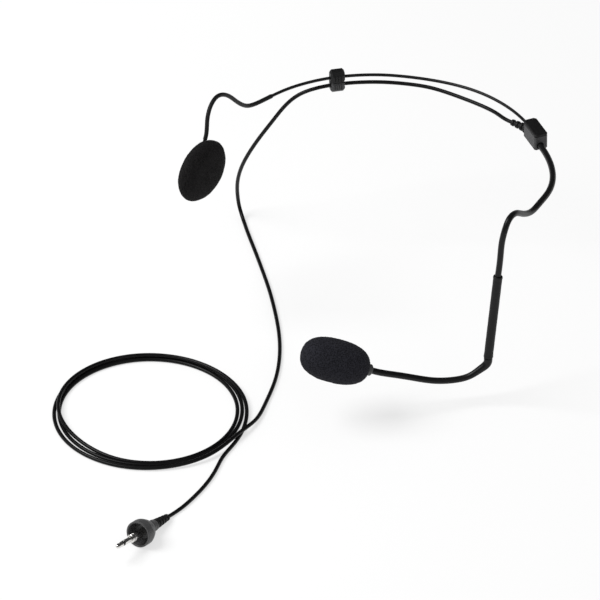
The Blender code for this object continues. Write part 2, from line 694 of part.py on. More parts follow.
def clip_pieces(upper_material, lower_material):
    """Clip in the band's axes: the upper half holds the wire and the lower half the cord."""
    gap = CLEARANCE / 2
    upper = clip_half("clip_upper", CLIP_PARTING + gap, CLIP_COVER, True, upper_material)
    bottom = -CORD_DROP - CLIP_COVER
    lower = clip_half("clip_lower", bottom, CLIP_PARTING - gap, False, lower_material)
    carve(upper, clip_bore(BAND_WIRE + CLEARANCE, 0.0, 0.0, upper_material))
    carve(lower, clip_bore(CORD_RADIUS + CLEARANCE, CORD_INSET, CORD_DROP, lower_material))
    return [upper, lower]


def hook_tube(material):
    """Tube from the block, over the ear and down into the boom sleeve."""
    end = BLOCK_LENGTH / 2
    marks = [block_point(end - TUBE_SEAT + CLEARANCE, TUBE_EXIT.y, TUBE_EXIT.z)]
    marks.append(block_point(end + 0.8 * MM, TUBE_EXIT.y, TUBE_EXIT.z))
    behind_ear = [(47.7, 2.6, 1.1), (55.3, 3.2, 0.6), (62.0, 3.2, 0.1), (68.8, 2.3, -0.5), (74.9, 0.9, -0.9)]
    for angle, out, drop in behind_ear:
        marks.append(band_point(angle, -out * MM, drop * MM))
    over_ear = [(-1.1, -13.1, 1.2), (-0.4, -6.5, 3.8), (0.6, 0.1, 8.3), (1.4, 6.9, 12.1), (1.8, 11.7, 11.9)]
    over_ear += [(1.7, 14.7, 8.1), (1.0, 16.1, 1.7), (0.4, 16.5, -7.3)]
    marks += [ear_point(1, out, forward, up) for out, forward, up in over_ear]
    marks += [sleeve_point(0), sleeve_point(SLEEVE_LENGTH - STEM_IN_SLEEVE - STEM_GAP)]
    route = Route(marks)
    outer = even(0, route.length, HOOK_TUBE, 3.2 * MM)
    inner = even(0, route.length, HOOK_TUBE_BORE, 3.2 * MM)
    return sweep("hook_tube", route, outer, material, inner)


def boom_sleeve(material):
    """Straight sleeve that joins the hook tube to the boom, in the sleeve's own axes."""
    return ring("boom_sleeve", SLEEVE_RADIUS, SLEEVE_BORE, 0, SLEEVE_LENGTH, material, 24)


def boom_bush(material):
    """Bush in the sleeve's lower end, in which the boom's stem slides."""
    stop = SLEEVE_LENGTH - BUSH_RECESS
    return ring("boom_bush", SLEEVE_BORE - CLEARANCE, BUSH_BORE, stop - BUSH_LENGTH, stop, material, 24)


def boom_stem(material):
    """Straight stem between the sleeve and the boom's tube, in the sleeve's own axes."""
    low = SLEEVE_LENGTH - STEM_IN_SLEEVE
    high = SLEEVE_LENGTH + CLEARANCE + STEM_IN_BOOM
    return rod("boom_stem", STEM_RADIUS, low, high, material, 16)


def boom_tube(material):
    """Bent tube from below the sleeve to the microphone's holder."""
    marks = [boom_top(), sleeve_point(SLEEVE_LENGTH + CLEARANCE + STEM_IN_BOOM + 0.4 * MM)]
    bend = [(-2.3, -2.4, -5.5), (-6.2, -6.1, -8.9), (-11.2, -10.8, -10.1), (-18.4, -18.0, -8.9)]
    bend += [(-24.5, -24.1, -6.1), (-30.9, -30.9, -2.7)]
    marks += [boom_top() + Vector(mark) * MM for mark in bend]
    marks += [mic_point(-5.0 * MM), mic_point(-HOLDER_BEHIND), mic_point(HOLDER_SOCKET - CLEARANCE)]
    route = Route(marks)
    outer = even(0, route.length, BOOM_RADIUS, 2.8 * MM)
    inner = even(0, route.length, BOOM_BORE, 2.8 * MM)
    return sweep("boom_tube", route, outer, material, inner)


def mic_pieces(holder_material, housing_material, capsule_material, board_material, felt_material):
    """Holder, housing and what is inside it, along the microphone's axis."""
    socket = BOOM_RADIUS + CLEARANCE
    holder_profile = [(0, HOLDER_SOCKET), (socket, HOLDER_SOCKET), (socket, -HOLDER_BEHIND)]
    holder_profile += [(HOLDER_RADIUS - HOLDER_BEVEL, -HOLDER_BEHIND)]
    holder_profile.append((HOLDER_RADIUS, HOLDER_BEVEL - HOLDER_BEHIND))
    holder_profile += [(HOLDER_RADIUS, HOLDER_AHEAD), (0, HOLDER_AHEAD)]
    holder = lathe("mic_holder", holder_profile, holder_material, 24)
    inside = HOUSING_RADIUS - HOUSING_WALL
    back = HOLDER_AHEAD + CLEARANCE
    fitted = inside - CLEARANCE
    stack = [("capsule_board", BOARD_THICKNESS, board_material)]
    stack.append(("mic_capsule", CAPSULE_LENGTH, capsule_material))
    stack.append(("capsule_felt", FELT_THICKNESS, felt_material))
    stack.append(("mic_grille", GRILLE_THICKNESS, housing_material))
    pieces = [holder]
    low = back + HOUSING_WALL + CLEARANCE
    for name, thickness, material in stack:
        pieces.append(rod(name, fitted, low, low + thickness, material, 20))
        low += thickness + CLEARANCE
    front = back + housing_length()
    housing_profile = [(0, back), (HOUSING_RADIUS, back), (HOUSING_RADIUS, front), (inside, front)]
    housing_profile += [(inside, back + HOUSING_WALL), (0, back + HOUSING_WALL)]
    pieces.append(lathe("mic_housing", housing_profile, housing_material, 24))
    return pieces


def housing_length():
    """Length of the housing, with the board, capsule, felt and grille behind a short recess."""
    inside = BOARD_THICKNESS + CAPSULE_LENGTH + FELT_THICKNESS + GRILLE_THICKNESS
    return HOUSING_WALL + 4 * CLEARANCE + inside + HOUSING_RECESS


def windscreen(material):
    """Blunt egg of foam with a blind bore that slips over the microphone."""
    bore = max(HOUSING_RADIUS, HOLDER_RADIUS) + CLEARANCE
    depth = HOLDER_AHEAD + CLEARANCE + housing_length() + SCREEN_END_GAP
    mouth = bore + SCREEN_LIP
    angles = np.linspace(0, math.pi, 40)
    reach = (1 - np.abs(np.cos(angles)) ** SCREEN_SQUARENESS) ** SCREEN_BLUNTNESS
    reach *= (1 - SCREEN_FULLNESS * np.cos(angles)) * SCREEN_RADIUS
    height = (1 - np.cos(angles)) / 2
    first = int(np.argmax(reach > mouth))
    height = (height - height[first]) / (1 - height[first]) * SCREEN_LENGTH
    keep = range(first, len(angles) - 1, 2)
    outer = [(float(reach[k]), float(height[k])) for k in keep]
    profile = [(0, depth), (bore, depth), (bore, 0)]
    profile += outer
    profile.append((0, SCREEN_LENGTH))
    return lathe("windscreen", profile, material, 36)


def coil_side(angle):
    """Point on the surface beside the coil, touching neither it nor the surface."""
    turned = math.radians(angle)
    reach = COIL_OUTER + CLEARANCE + CORD_RADIUS
    across = Vector((math.cos(turned), math.sin(turned), 0)) * reach
    return COIL_CENTRE + across + Vector((0, 0, FLOOR + CORD_RADIUS))


def cord_run(gland, material):
    """Cord from the gland along the band, through the clip, down to the surface and up to the coil."""
    tip, _, _ = gland.at(gland.length)
    out = gland.tangents[-1]
    marks = [tip + out * CLEARANCE, tip + out * 2.2 * MM]
    for angle, inset, drop in ((14, 1.3, 3.0), (5, 1.3, 3.4), (-4, 1.2, 3.4)):
        marks.append(band_point(angle, inset * MM, drop * MM))
    for angle in (-13, -21, -29, -37, -45):
        marks.append(band_point(angle, CORD_INSET, CORD_DROP - CLIP_CLIMB))
    hanging = [(-62.0, 33.8, -4.8), (-68.6, 29.7, -8.6), (-73.0, 26.6, -13.6), (-77.6, 23.2, -21.6)]
    hanging += [(-82.7, 20.1, -31.0), (-88.0, 18.3, -41.5), (-92.6, 18.8, -52.0), (-96.0, 21.0, -62.4)]
    hanging += [(-97.8, 23.8, -72.2), (-97.1, 24.4, -79.2), (-93.4, 21.6, -82.6)]
    marks += [Vector(mark) * MM for mark in hanging]
    lying = [(-88.0, 16.2), (-76.9, 5.3), (-65.4, -6.1), (-53.6, -18.2), (-42.4, -30.8), (-31.0, -45.0)]
    lying += [(-20.6, -60.8), (-12.4, -77.6), (-6.6, -94.6), (-3.0, -108.6)]
    marks += [(x * MM, y * MM, FLOOR + CORD_RADIUS) for x, y in lying]
    marks.append(coil_side(11))
    return cord("cord_run", Route(marks, FLOOR + CORD_RADIUS), material)


def cord_coil(material):
    """Outer shape of the three turns of cord that lie flat on the surface."""
    place_at = Matrix.Translation(COIL_CENTRE)
    return ring("cord_coil", COIL_OUTER, COIL_INNER, FLOOR, FLOOR + COIL_HEIGHT, material, 64, place_at)


def cord_tail(material):
    """Cord from the coil to the back of the plug's boot."""
    boot_end = -boot_start() - BOOT_LENGTH
    marks = [coil_side(-5)]
    lying = [(-0.6, -139.3), (1.9, -148.6), (4.4, -161.2), (5.2, -173.8), (4.9, -183.4)]
    marks += [(x * MM, y * MM, FLOOR + CORD_RADIUS) for x, y in lying]
    marks += [plug_point(boot_end - 3.0 * MM), plug_point(boot_end - CLEARANCE)]
    return cord("cord_tail", Route(marks, FLOOR + CORD_RADIUS), material)


def boot_start():
    """Distance from the collar's rim back to the boot."""
    return COLLAR_LENGTH + CLEARANCE + BODY_LENGTH + CLEARANCE


def plug_pieces(boot_material, body_material, metal, insulation):
    """Plug's boot, body, bushing and pin, along the plug's axis."""
    start = boot_start()
    taper = ribs(start, start + BOOT_LENGTH, BOOT_BASE, BOOT_TIP, BOOT_RIBS, BOOT_GROOVE)
    boot_profile = [(0, -start)] + [(radius, -distance) for distance, radius in taper]
    boot_profile.append((0, -start - BOOT_LENGTH))
    boot = lathe("plug_boot", boot_profile, boot_material, 20)
    shoulder = -COLLAR_LENGTH - CLEARANCE
    flange_back = -COLLAR_DEPTH + CLEARANCE
    flange_front = flange_back + FLANGE_THICKNESS
    body_profile = [(0, shoulder - BODY_LENGTH), (BODY_RADIUS, shoulder - BODY_LENGTH)]
    body_profile += [(BODY_RADIUS, shoulder), (NECK_RADIUS, shoulder), (NECK_RADIUS, flange_back)]
    body_profile += [(FLANGE_RADIUS, flange_back), (FLANGE_RADIUS, flange_front), (0, flange_front)]
    body = lathe("plug_body", body_profile, body_material, 24)
    bushing_low = flange_front + CLEARANCE
    bushing = ring("pin_bushing", BUSHING_RADIUS, PIN_BORE, bushing_low, BUSHING_AHEAD, metal, 20)
    pin_low = BUSHING_AHEAD + CLEARANCE
    pin_high = pin_low + PIN_LENGTH
    tip_low = pin_high - TIP_LENGTH
    ring_low = tip_low - CLEARANCE - RING_LENGTH
    sleeve = ring("pin_sleeve", PIN_RADIUS, PIN_BORE, pin_low, ring_low - CLEARANCE, metal, 20)
    insulator = ring("pin_insulator", PIN_RADIUS, PIN_BORE, ring_low, ring_low + RING_LENGTH, insulation, 20)
    core_low = bushing_low + CORE_START
    tip_profile = [(0, core_low), (PIN_CORE, core_low), (PIN_CORE, tip_low), (PIN_RADIUS, tip_low)]
    for share, radius in ((0.18, PIN_RADIUS), (0.39, TIP_WAIST), (0.59, PIN_RADIUS)):
        tip_profile.append((radius, tip_low + share * TIP_LENGTH))
    tip_profile += [(TIP_WAIST, pin_high - TIP_NOSE), (0, pin_high)]
    tip = lathe("pin_tip", tip_profile, metal, 20)
    return [boot, body, bushing, sleeve, insulator, tip]


def lock_collar(material):
    """Bell-shaped collar, free to turn between the body's shoulder and its flange."""
    inner = COLLAR_RADIUS - COLLAR_WALL
    bore = NECK_RADIUS + CLEARANCE
    floor = FLANGE_RADIUS + COLLAR_FLOOR
    flare = (COLLAR_BACK + COLLAR_RADIUS) / 2
    profile = [(bore, -COLLAR_LENGTH), (COLLAR_BACK, -COLLAR_LENGTH)]
    profile.append((COLLAR_BACK + 0.2 * MM, 0.6 * MM - COLLAR_LENGTH))
    profile += [(flare, -(COLLAR_LENGTH + COLLAR_DEPTH) / 2), (COLLAR_RADIUS - 0.5 * MM, -COLLAR_DEPTH)]
    profile += [(COLLAR_RADIUS, -COLLAR_STRAIGHT), (COLLAR_RADIUS, 0), (inner, 0)]
    profile += [(inner, -COLLAR_STRAIGHT + 0.2 * MM), (floor, -COLLAR_DEPTH), (bore, -COLLAR_DEPTH)]
    return lathe("lock_collar", profile, material, 36)


def build():
    """Make every piece and put it on its joint's axes."""
    clear_scene()
    satin_black = plastic("satin_black_wire", (0.020, 0.020, 0.022), 0.38)
    soft_black = plastic("soft_black_rubber", (0.030, 0.030, 0.032), 0.60)
    moulded_black = plastic("moulded_black_plastic", (0.035, 0.035, 0.037), 0.52)
    moulded_grey = plastic("moulded_dark_grey_plastic", (0.090, 0.090, 0.094), 0.55)
    foam = plastic("black_foam", (0.018, 0.018, 0.021), 0.95)
    cord_black = plastic("cord_jacket", (0.016, 0.016, 0.017), 0.45)
    nickel = plastic("nickel_plate", (0.72, 0.72, 0.73), 0.18, 1.0)
    insulation = plastic("black_insulation", (0.020, 0.020, 0.020), 0.40)
    circuit = plastic("green_circuit_board", (0.030, 0.160, 0.070), 0.45)

    band = wire_route()
    band_wire(band, satin_black)
    hook_sleeve(band, soft_black)
    hook_tube(satin_black)

    pad_axes = axes("pad_axes", pad_foot(), pad_stem(), PAD_NORMAL)
    place(pad_pieces(moulded_black, foam), pad_axes)

    place(block_pieces(moulded_grey, nickel), band_axes("block_axes", BLOCK_ANGLE))
    gland = gland_route()
    cord_gland(gland, soft_black)
    place(clip_pieces(moulded_black, moulded_grey), band_axes("clip_axes", CLIP_ANGLE))

    sleeve_axes = axes("sleeve_axes", SLEEVE_TOP, SLEEVE_AXIS, (1, 0, 0))
    place([boom_sleeve(soft_black)], sleeve_axes)
    boom_axes = axes("boom_axes", SLEEVE_TOP, SLEEVE_AXIS, (1, 0, 0))
    place([boom_bush(insulation), boom_stem(nickel)], boom_axes)
    hang(boom_tube(satin_black), boom_axes)

    mic_axes = axes("mic_axes", mic_point(0), MIC_AXIS, (1, 0, 0))
    place(mic_pieces(moulded_grey, nickel, nickel, circuit, foam), mic_axes)
    place([windscreen(foam)], mic_axes)

    cord_run(gland, cord_black)
    cord_coil(cord_black)
    cord_tail(cord_black)

    plug_axes = axes("plug_axes", PLUG_RIM, PLUG_AXIS, (1, 0, 0))
    place(plug_pieces(soft_black, moulded_grey, nickel, insulation), plug_axes)
    place([lock_collar(moulded_grey)], plug_axes)


build()
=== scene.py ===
"""Headset microphone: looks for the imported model. Lengths in metres, +Z up, in the model's own frame."""
import math

import bpy
import numpy as np
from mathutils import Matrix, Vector


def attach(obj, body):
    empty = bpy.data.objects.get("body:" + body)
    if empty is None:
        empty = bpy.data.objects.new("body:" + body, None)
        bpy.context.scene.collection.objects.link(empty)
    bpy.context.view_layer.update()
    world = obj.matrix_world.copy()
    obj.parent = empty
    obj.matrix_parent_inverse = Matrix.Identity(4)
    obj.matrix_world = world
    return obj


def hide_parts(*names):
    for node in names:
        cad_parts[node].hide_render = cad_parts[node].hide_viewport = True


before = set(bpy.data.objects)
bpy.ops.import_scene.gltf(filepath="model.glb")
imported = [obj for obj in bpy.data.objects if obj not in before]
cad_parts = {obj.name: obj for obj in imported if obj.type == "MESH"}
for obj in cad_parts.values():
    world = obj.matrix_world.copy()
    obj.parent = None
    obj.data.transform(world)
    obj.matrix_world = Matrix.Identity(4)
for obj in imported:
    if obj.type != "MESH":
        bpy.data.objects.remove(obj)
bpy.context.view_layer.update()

# ---------------------------------------------------------------------------------------------------
# Camera: a long lens from ahead of the wearer's left and above, so that near and far parts of the
# headset keep one scale.
MM = 0.001
scene = bpy.context.scene
camera_data = bpy.data.cameras.new("studio_camera")
camera_data.lens = 1500.0
camera_data.sensor_width = 36.0
camera_data.clip_end = 60.0
camera = bpy.data.objects.new("studio_camera", camera_data)
scene.collection.objects.link(camera)
view_width = 272.7 * MM
view_azimuth = math.radians(32.7)
view_elevation = math.radians(35.5)
view_centre = np.array((-14.1, -53.6, -52.5)) * MM
towards_camera = np.array((math.sin(view_azimuth) * math.cos(view_elevation),
                           -math.cos(view_azimuth) * math.cos(view_elevation),
                           math.sin(view_elevation)))
camera_distance = view_width * camera_data.lens / camera_data.sensor_width
camera.location = view_centre + towards_camera * camera_distance
camera.rotation_euler = Vector(-towards_camera).to_track_quat("-Z", "Y").to_euler()
scene.camera = camera
scene.view_settings.view_transform = "Standard"


# ---------------------------------------------------------------------------------------------------
# Studio: a pale floor under the cord, lit in part from within like a light table so that shadows stay weak,
# with a large soft light overhead to the left and a weaker one to the right. The surroundings are white to
# the eye, light the floor evenly, and reflect as dark.
class Value:
    """Output socket of a material's node. Sums, differences and products of Values add Math nodes."""

    def __init__(self, finish, socket):
        self.finish = finish
        self.socket = socket

    def maths(self, operation, other, swap=False):
        pair = (other, self) if swap else (self, other)
        return self.finish.node("ShaderNodeMath", {"operation": operation}, {0: pair[0], 1: pair[1]})

    def __add__(self, other):
        return self.maths("ADD", other)

    def __sub__(self, other):
        return self.maths("SUBTRACT", other)

    def __rsub__(self, other):
        return self.maths("SUBTRACT", other, swap=True)

    def __mul__(self, other):
        return self.maths("MULTIPLY", other)

    __radd__ = __add__
    __rmul__ = __mul__

    def smooth(self, low, high):
        """0 below low, 1 above high, and a smooth step between."""
        inputs = {"Value": self, "From Min": low, "From Max": high}
        return self.finish.node("ShaderNodeMapRange", {"interpolation_type": "SMOOTHSTEP"}, inputs)


class Finish:
    """One material, whose Principled shader takes numbers, colours or Values."""

    def __init__(self, name):
        self.material = bpy.data.materials.new(name)
        self.material.use_nodes = True
        self.tree = self.material.node_tree
        self.shader = self.tree.nodes["Principled BSDF"]

    def node(self, kind, settings=None, inputs=None, output=0):
        """Any node: its settings first, then its sockets, by name or number, as values or links."""
        made = self.tree.nodes.new(kind)
        for key, value in (settings or {}).items():
            setattr(made, key, value)
        for key, value in (inputs or {}).items():
            if isinstance(value, Value):
                self.tree.links.new(value.socket, made.inputs[key])
            else:
                made.inputs[key].default_value = value
        return Value(self, made.outputs[output])

    def place(self, kind="Object"):
        """Object coordinates, or the piece's own UV map: around it from 0 to 1, and along it in mm."""
        coordinates = self.tree.nodes.new("ShaderNodeTexCoord")
        return Value(self, coordinates.outputs[kind])

    def noise(self, size, detail=2.0, rough=0.5):
        """Noise from 0 to 1 with features of about the given size in metres."""
        inputs = {"Vector": self.place(), "Scale": 1.0 / size, "Detail": detail, "Roughness": rough}
        return self.node("ShaderNodeTexNoise", None, inputs)

    def streaks(self, around, along):
        """Noise stretched over the UV map, by its scales for the share of the way round and for mm along."""
        inputs = {0: self.place("UV"), 1: (around, along, 1.0)}
        scaled = self.node("ShaderNodeVectorMath", {"operation": "MULTIPLY"}, inputs)
        return self.node("ShaderNodeTexNoise", None, {"Vector": scaled, "Scale": 1.0, "Detail": 2.0})

    def cells(self, size, spread=1.0):
        """Distance to the nearest point of a scatter, in cells of the given size; spread 0 is a grid."""
        inputs = {"Vector": self.place(), "Scale": 1.0 / size, "Randomness": spread}
        return self.node("ShaderNodeTexVoronoi", None, inputs)

    def mix(self, share, first, second):
        """Colour between first and second by a share from 0 to 1."""
        inputs = {0: share, 6: (*first, 1.0) if isinstance(first, tuple) else first}
        inputs[7] = (*second, 1.0) if isinstance(second, tuple) else second
        return self.node("ShaderNodeMix", {"data_type": "RGBA"}, inputs, output=2)

    def paint(self, **sockets):
        """Set the shader's sockets by name, with _ for a space."""
        for key, value in sockets.items():
            socket = self.shader.inputs[key.replace("_", " ")]
            if isinstance(value, Value):
                self.tree.links.new(value.socket, socket)
            elif isinstance(value, tuple):
                socket.default_value = (*value, 1.0)
            else:
                socket.default_value = value

    def bump(self, height, depth):
        """Relief of the given depth in metres."""
        inputs = {"Height": height, "Distance": depth, "Strength": 1.0}
        self.paint(Normal=self.node("ShaderNodeBump", None, inputs))


floor_level = -84.0 * MM
floor_half = 8.0
floor_mesh = bpy.data.meshes.new("floor")
floor_turns = ((-1, -1), (1, -1), (1, 1), (-1, 1))
floor_corners = [(x * floor_half, y * floor_half, floor_level) for x, y in floor_turns]
floor_mesh.from_pydata(floor_corners, [], [(0, 1, 2, 3)])
floor = bpy.data.objects.new("floor", floor_mesh)
scene.collection.objects.link(floor)
paper = Finish("lit_white_paper")
paper.paint(Base_Color=paper.mix(paper.noise(0.3), (0.33, 0.33, 0.33), (0.36, 0.36, 0.36)), Roughness=0.9)
paper.paint(Specular_IOR_Level=0.0, Emission_Color=(1.0, 1.0, 1.0), Emission_Strength=0.62)
floor_mesh.materials.append(paper.material)


def soft_light(name, place, aim, size, power):
    """Square area light, turned to face aim."""
    data = bpy.data.lights.new(name, "AREA")
    data.shape = "SQUARE"
    data.size = size
    data.energy = power
    light = bpy.data.objects.new(name, data)
    scene.collection.objects.link(light)
    light.location = place
    light.rotation_euler = (Vector(aim) - Vector(place)).to_track_quat("-Z", "Y").to_euler()


light_aim = (-0.01, -0.06, -0.05)
soft_light("key_softbox", (-0.75, -0.65, 1.15), light_aim, 0.8, 19.0)
soft_light("fill_softbox", (1.2, -0.6, 1.0), light_aim, 0.5, 1.5)


def sky(shade):
    """Even surroundings of one grey."""
    background = world.node_tree.nodes.new("ShaderNodeBackground")
    background.inputs["Color"].default_value = (shade, shade, shade, 1.0)
    return background.outputs[0]


def choose(share, first, second):
    """The second shader where share is 1, and the first elsewhere."""
    mixed = world.node_tree.nodes.new("ShaderNodeMixShader")
    for socket, link in zip(mixed.inputs, (share, first, second)):
        world.node_tree.links.new(link, socket)
    return mixed.outputs[0]


world = bpy.data.worlds.new("studio")
world.use_nodes = True
world.node_tree.nodes.clear()
scene.world = world
ray = world.node_tree.nodes.new("ShaderNodeLightPath")
lit = choose(ray.outputs["Is Diffuse Ray"], sky(0.06), sky(0.50))
surface = world.node_tree.nodes.new("ShaderNodeOutputWorld").inputs["Surface"]
world.node_tree.links.new(choose(ray.outputs["Is Camera Ray"], lit, sky(1.0)), surface)


# ---------------------------------------------------------------------------------------------------
# Cord: one length of thin round cable in a smooth black jacket. It leaves the block's gland, runs
# through the clip, drops to the floor, lies in three turns and ends in the plug's boot.
fine_step = 0.2 * MM


def smooth_line(marks, spacing, floor_height=None):
    """Natural cubic spline through the marks over their chords, read at even spacing.

    Between two marks the curve is the straight line plus (A^3 - A) and (B^3 - B) times the bends at the two
    ends, with A and B the shares of the way left and done. It goes no lower than floor_height.
    """
    marks = np.array(marks, float)
    knots = np.concatenate([[0.0], np.cumsum(np.linalg.norm(np.diff(marks, axis=0), axis=1))])
    width = np.diff(knots)[:, None]
    rise = np.diff(marks, axis=0) / width
    system = np.eye(len(knots))
    inner = np.arange(1, len(knots) - 1)
    system[inner, inner - 1] = width[:-1, 0]
    system[inner, inner] = 2 * (width[:-1, 0] + width[1:, 0])
    system[inner, inner + 1] = width[1:, 0]
    target = np.zeros_like(marks)
    target[inner] = 6 * (rise[1:] - rise[:-1])
    bend = np.linalg.solve(system, target)
    fine = np.linspace(0.0, knots[-1], int(knots[-1] / fine_step) + 2)
    left = np.clip(np.searchsorted(knots, fine, side="right") - 1, 0, len(width) - 1)
    done = (fine - knots[left])[:, None] / width[left]
    to_go = 1 - done
    line = to_go * marks[left] + done * marks[left + 1]
    line += ((to_go ** 3 - to_go) * bend[left] + (done ** 3 - done) * bend[left + 1]) * width[left] ** 2 / 6
    if floor_height is not None:
        line[:, 2] = np.maximum(line[:, 2], floor_height)
    walked = distances(line)
    steps = np.linspace(0.0, walked[-1], max(3, round(walked[-1] / spacing) + 1))
    return np.stack([np.interp(steps, walked, line[:, k]) for k in range(3)], axis=1)


def distances(line):
    """Distance along a line at each of its points."""
    return np.concatenate([[0.0], np.cumsum(np.linalg.norm(np.diff(line, axis=0), axis=1))])


def stretch(line, start, stop, spacing):
    """The part of a line between two distances along it."""
    walked = distances(line)
    steps = np.linspace(start, stop, max(3, round((stop - start) / spacing) + 1))
    return np.stack([np.interp(steps, walked, line[:, k]) for k in range(3)], axis=1)


askew = (0.31, 0.17, 0.94)     # a direction that no line here starts along


def swept(line, radius, sides, at=None):
    """Circles carried along a line without twisting: centre + radius (cos a N + sin a B), a from 0 to 2 pi.

    The radius may differ from ring to ring. at, if given, holds the rings' distances along the line.
    """
    tangents = np.gradient(line, axis=0)
    tangents /= np.linalg.norm(tangents, axis=1)[:, None]
    across = np.cross(tangents[0], askew)
    normals = np.zeros_like(line)
    for step, tangent in enumerate(tangents):
        across = across - tangent * np.dot(across, tangent)
        across /= np.linalg.norm(across)
        normals[step] = across
    walked = distances(line)
    at = walked if at is None else at
    centres, normals, others = (
        np.stack([np.interp(at, walked, part[:, k]) for k in range(3)], axis=1)[:, None]
        for part in (line, normals, np.cross(tangents, normals)))
    turn = np.linspace(0, 2 * math.pi, sides, endpoint=False)[None, :, None]
    reach = np.broadcast_to(np.asarray(radius, float), (len(at),))[:, None, None]
    return centres + reach * (np.cos(turn) * normals + np.sin(turn) * others)


def skin(name, grid, finish, ends="closed", loop=False, crease=35.0):
    """Surface over a grid of points, its rows along the piece and its columns round it.

    ends closes the first and last rows with a fan to their middle. loop joins the last row to the first,
    as on a tube with a wall. The UV map is the share of the way round, and the distance along in mm.
    """
    rows, columns = grid.shape[:2]
    points = grid.reshape(-1, 3)
    along = distances(grid.mean(axis=1)) if not loop else distances(grid[:, 0])
    along = np.append(along, along[-1]) / MM
    low = np.arange(rows if loop else rows - 1)[:, None]
    high = (low + 1) % rows
    here = np.arange(columns)[None, :]
    after = (here + 1) % columns
    corners = [low * columns + here, low * columns + after, high * columns + after, high * columns + here]
    quads = np.stack(corners, axis=-1)
    share = np.broadcast_to(here / columns, quads.shape[:2])
    start = np.broadcast_to(along[low], quads.shape[:2])
    stop = np.broadcast_to(along[low + 1], quads.shape[:2])
    ahead = share + 1 / columns
    uv = np.stack([share, start, ahead, start, ahead, stop, share, stop], axis=-1).reshape(-1, 2)
    faces = quads.reshape(-1, 4).tolist()
    if ends == "closed" and not loop:
        count = len(points)
        points = np.vstack([points, grid[0].mean(axis=0), grid[-1].mean(axis=0)])
        ring = np.arange(columns)
        following = (ring + 1) % columns
        last = (rows - 1) * columns
        faces += np.stack([following, ring, np.full(columns, count)], axis=-1).tolist()
        faces += np.stack([last + ring, last + following, np.full(columns, count + 1)], axis=-1).tolist()
        share = np.stack([ring / columns, np.zeros(columns)], axis=-1)
        flat = np.repeat(share, 3, axis=0)
        uv = np.vstack([uv, flat, flat + (0.0, along[-1])])
    mesh = bpy.data.meshes.new(name)
    mesh.from_pydata(points.tolist(), [], faces)
    mesh.uv_layers.new(name="UVMap").data.foreach_set("uv", uv.astype(np.float32).ravel())
    mesh.shade_smooth()
    mesh.set_sharp_from_angle(angle=math.radians(crease))
    mesh.materials.append(finish.material)
    made = bpy.data.objects.new(name, mesh)
    scene.collection.objects.link(made)
    return made


def fit(made, body, slot, *stands_for):
    """The piece rides on a body and stands for CAD nodes, which are hidden. slot is not used."""
    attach(made, body)
    if stands_for:
        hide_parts(*stands_for)
    return made


def unit(vector):
    """The vector at length 1."""
    return np.array(vector, float) / np.linalg.norm(vector)


# The band's arc, level behind the head, and the junction block that stands on it
band_radius = 78.0 * MM
band_centre = np.array((0.0, -13.5, -0.9)) * MM


def band_point(angle, inset, drop):
    """Point at an angle in degrees from the back of the head, in mm inside and below the band's arc."""
    bearing = math.radians(angle)
    reach = band_radius - inset * MM
    return band_centre + np.array((reach * math.sin(bearing), reach * math.cos(bearing), -drop * MM))


block_angle = math.radians(34.2)
block_outward = np.array((math.sin(block_angle), math.cos(block_angle), 0.0))
block_lengthways = np.array((math.cos(block_angle), -math.sin(block_angle), 0.0))
block_reach = band_radius + 2.0 * MM
block_climb = 1.8     # mm above the arc


def block_point(x, y, z):
    """Point in the junction block's own axes, in mm: along the band, out from the head and up."""
    level = band_centre + block_lengthways * x * MM + block_outward * (block_reach + y * MM)
    return level + (0, 0, (z + block_climb) * MM)


block_end = 6.85                        # half the block's length, in mm
gland_side, gland_drop = -1.0, -3.5     # the gland's place in the block's end wall, in mm
gland_marks = [block_point(-block_end + 2.3, gland_side, gland_drop)]
gland_marks.append(block_point(-block_end, gland_side, gland_drop))
gland_marks.append(block_point(-block_end - 1.7, gland_side - 0.4, gland_drop))
gland_marks.append(block_point(-block_end - 4.6, gland_side - 1.8, gland_drop))
gland_marks.append(block_point(-block_end - 8.4, gland_side - 3.9, gland_drop - 0.1))
gland_line = smooth_line(gland_marks, 0.1 * MM)

cord_radius = 0.9 * MM
lying_height = floor_level + cord_radius
in_gland, straight_out = 1.5 * MM, 2.2 * MM
gland_exit = gland_line[-1]
gland_direction = unit(gland_line[-1] - gland_line[-3])
cord_marks = [gland_exit - gland_direction * in_gland, gland_exit + gland_direction * straight_out]
for angle, inset, drop in ((14, 1.3, 3.0), (5, 1.3, 3.4), (-4, 1.2, 3.4)):
    cord_marks.append(band_point(angle, inset, drop))
for angle in (-13, -21, -29, -37, -45):
    cord_marks.append(band_point(angle, 1.0, 2.85))

# Over the band's end, down to the floor and across it, in mm
hanging = [(-62.0, 33.8, -4.8), (-68.6, 29.7, -8.6), (-73.0, 26.6, -13.6), (-77.6, 23.2, -21.6)]
hanging += [(-82.7, 20.1, -31.0), (-88.0, 18.3, -41.5), (-92.6, 18.8, -52.0), (-96.0, 21.0, -62.4)]
hanging += [(-97.8, 23.8, -72.2), (-97.1, 24.4, -79.2), (-93.4, 21.6, -82.6)]
cord_marks += [np.array(mark) * MM for mark in hanging]
lying = [(-88.0, 16.2), (-76.9, 5.3), (-65.4, -6.1), (-53.6, -18.2), (-42.4, -30.8), (-31.0, -45.0)]
lying += [(-20.6, -60.8), (-12.4, -77.6), (-6.6, -94.6), (-3.0, -108.6)]
entering_lift = (0, 0, 0, 0, 0, 0, 0, 0, 0.1, 0.9)     # it climbs over the coil's other turns
cord_marks += [np.array((x * MM, y * MM, lying_height + z * MM)) for (x, y), z in zip(lying, entering_lift)]

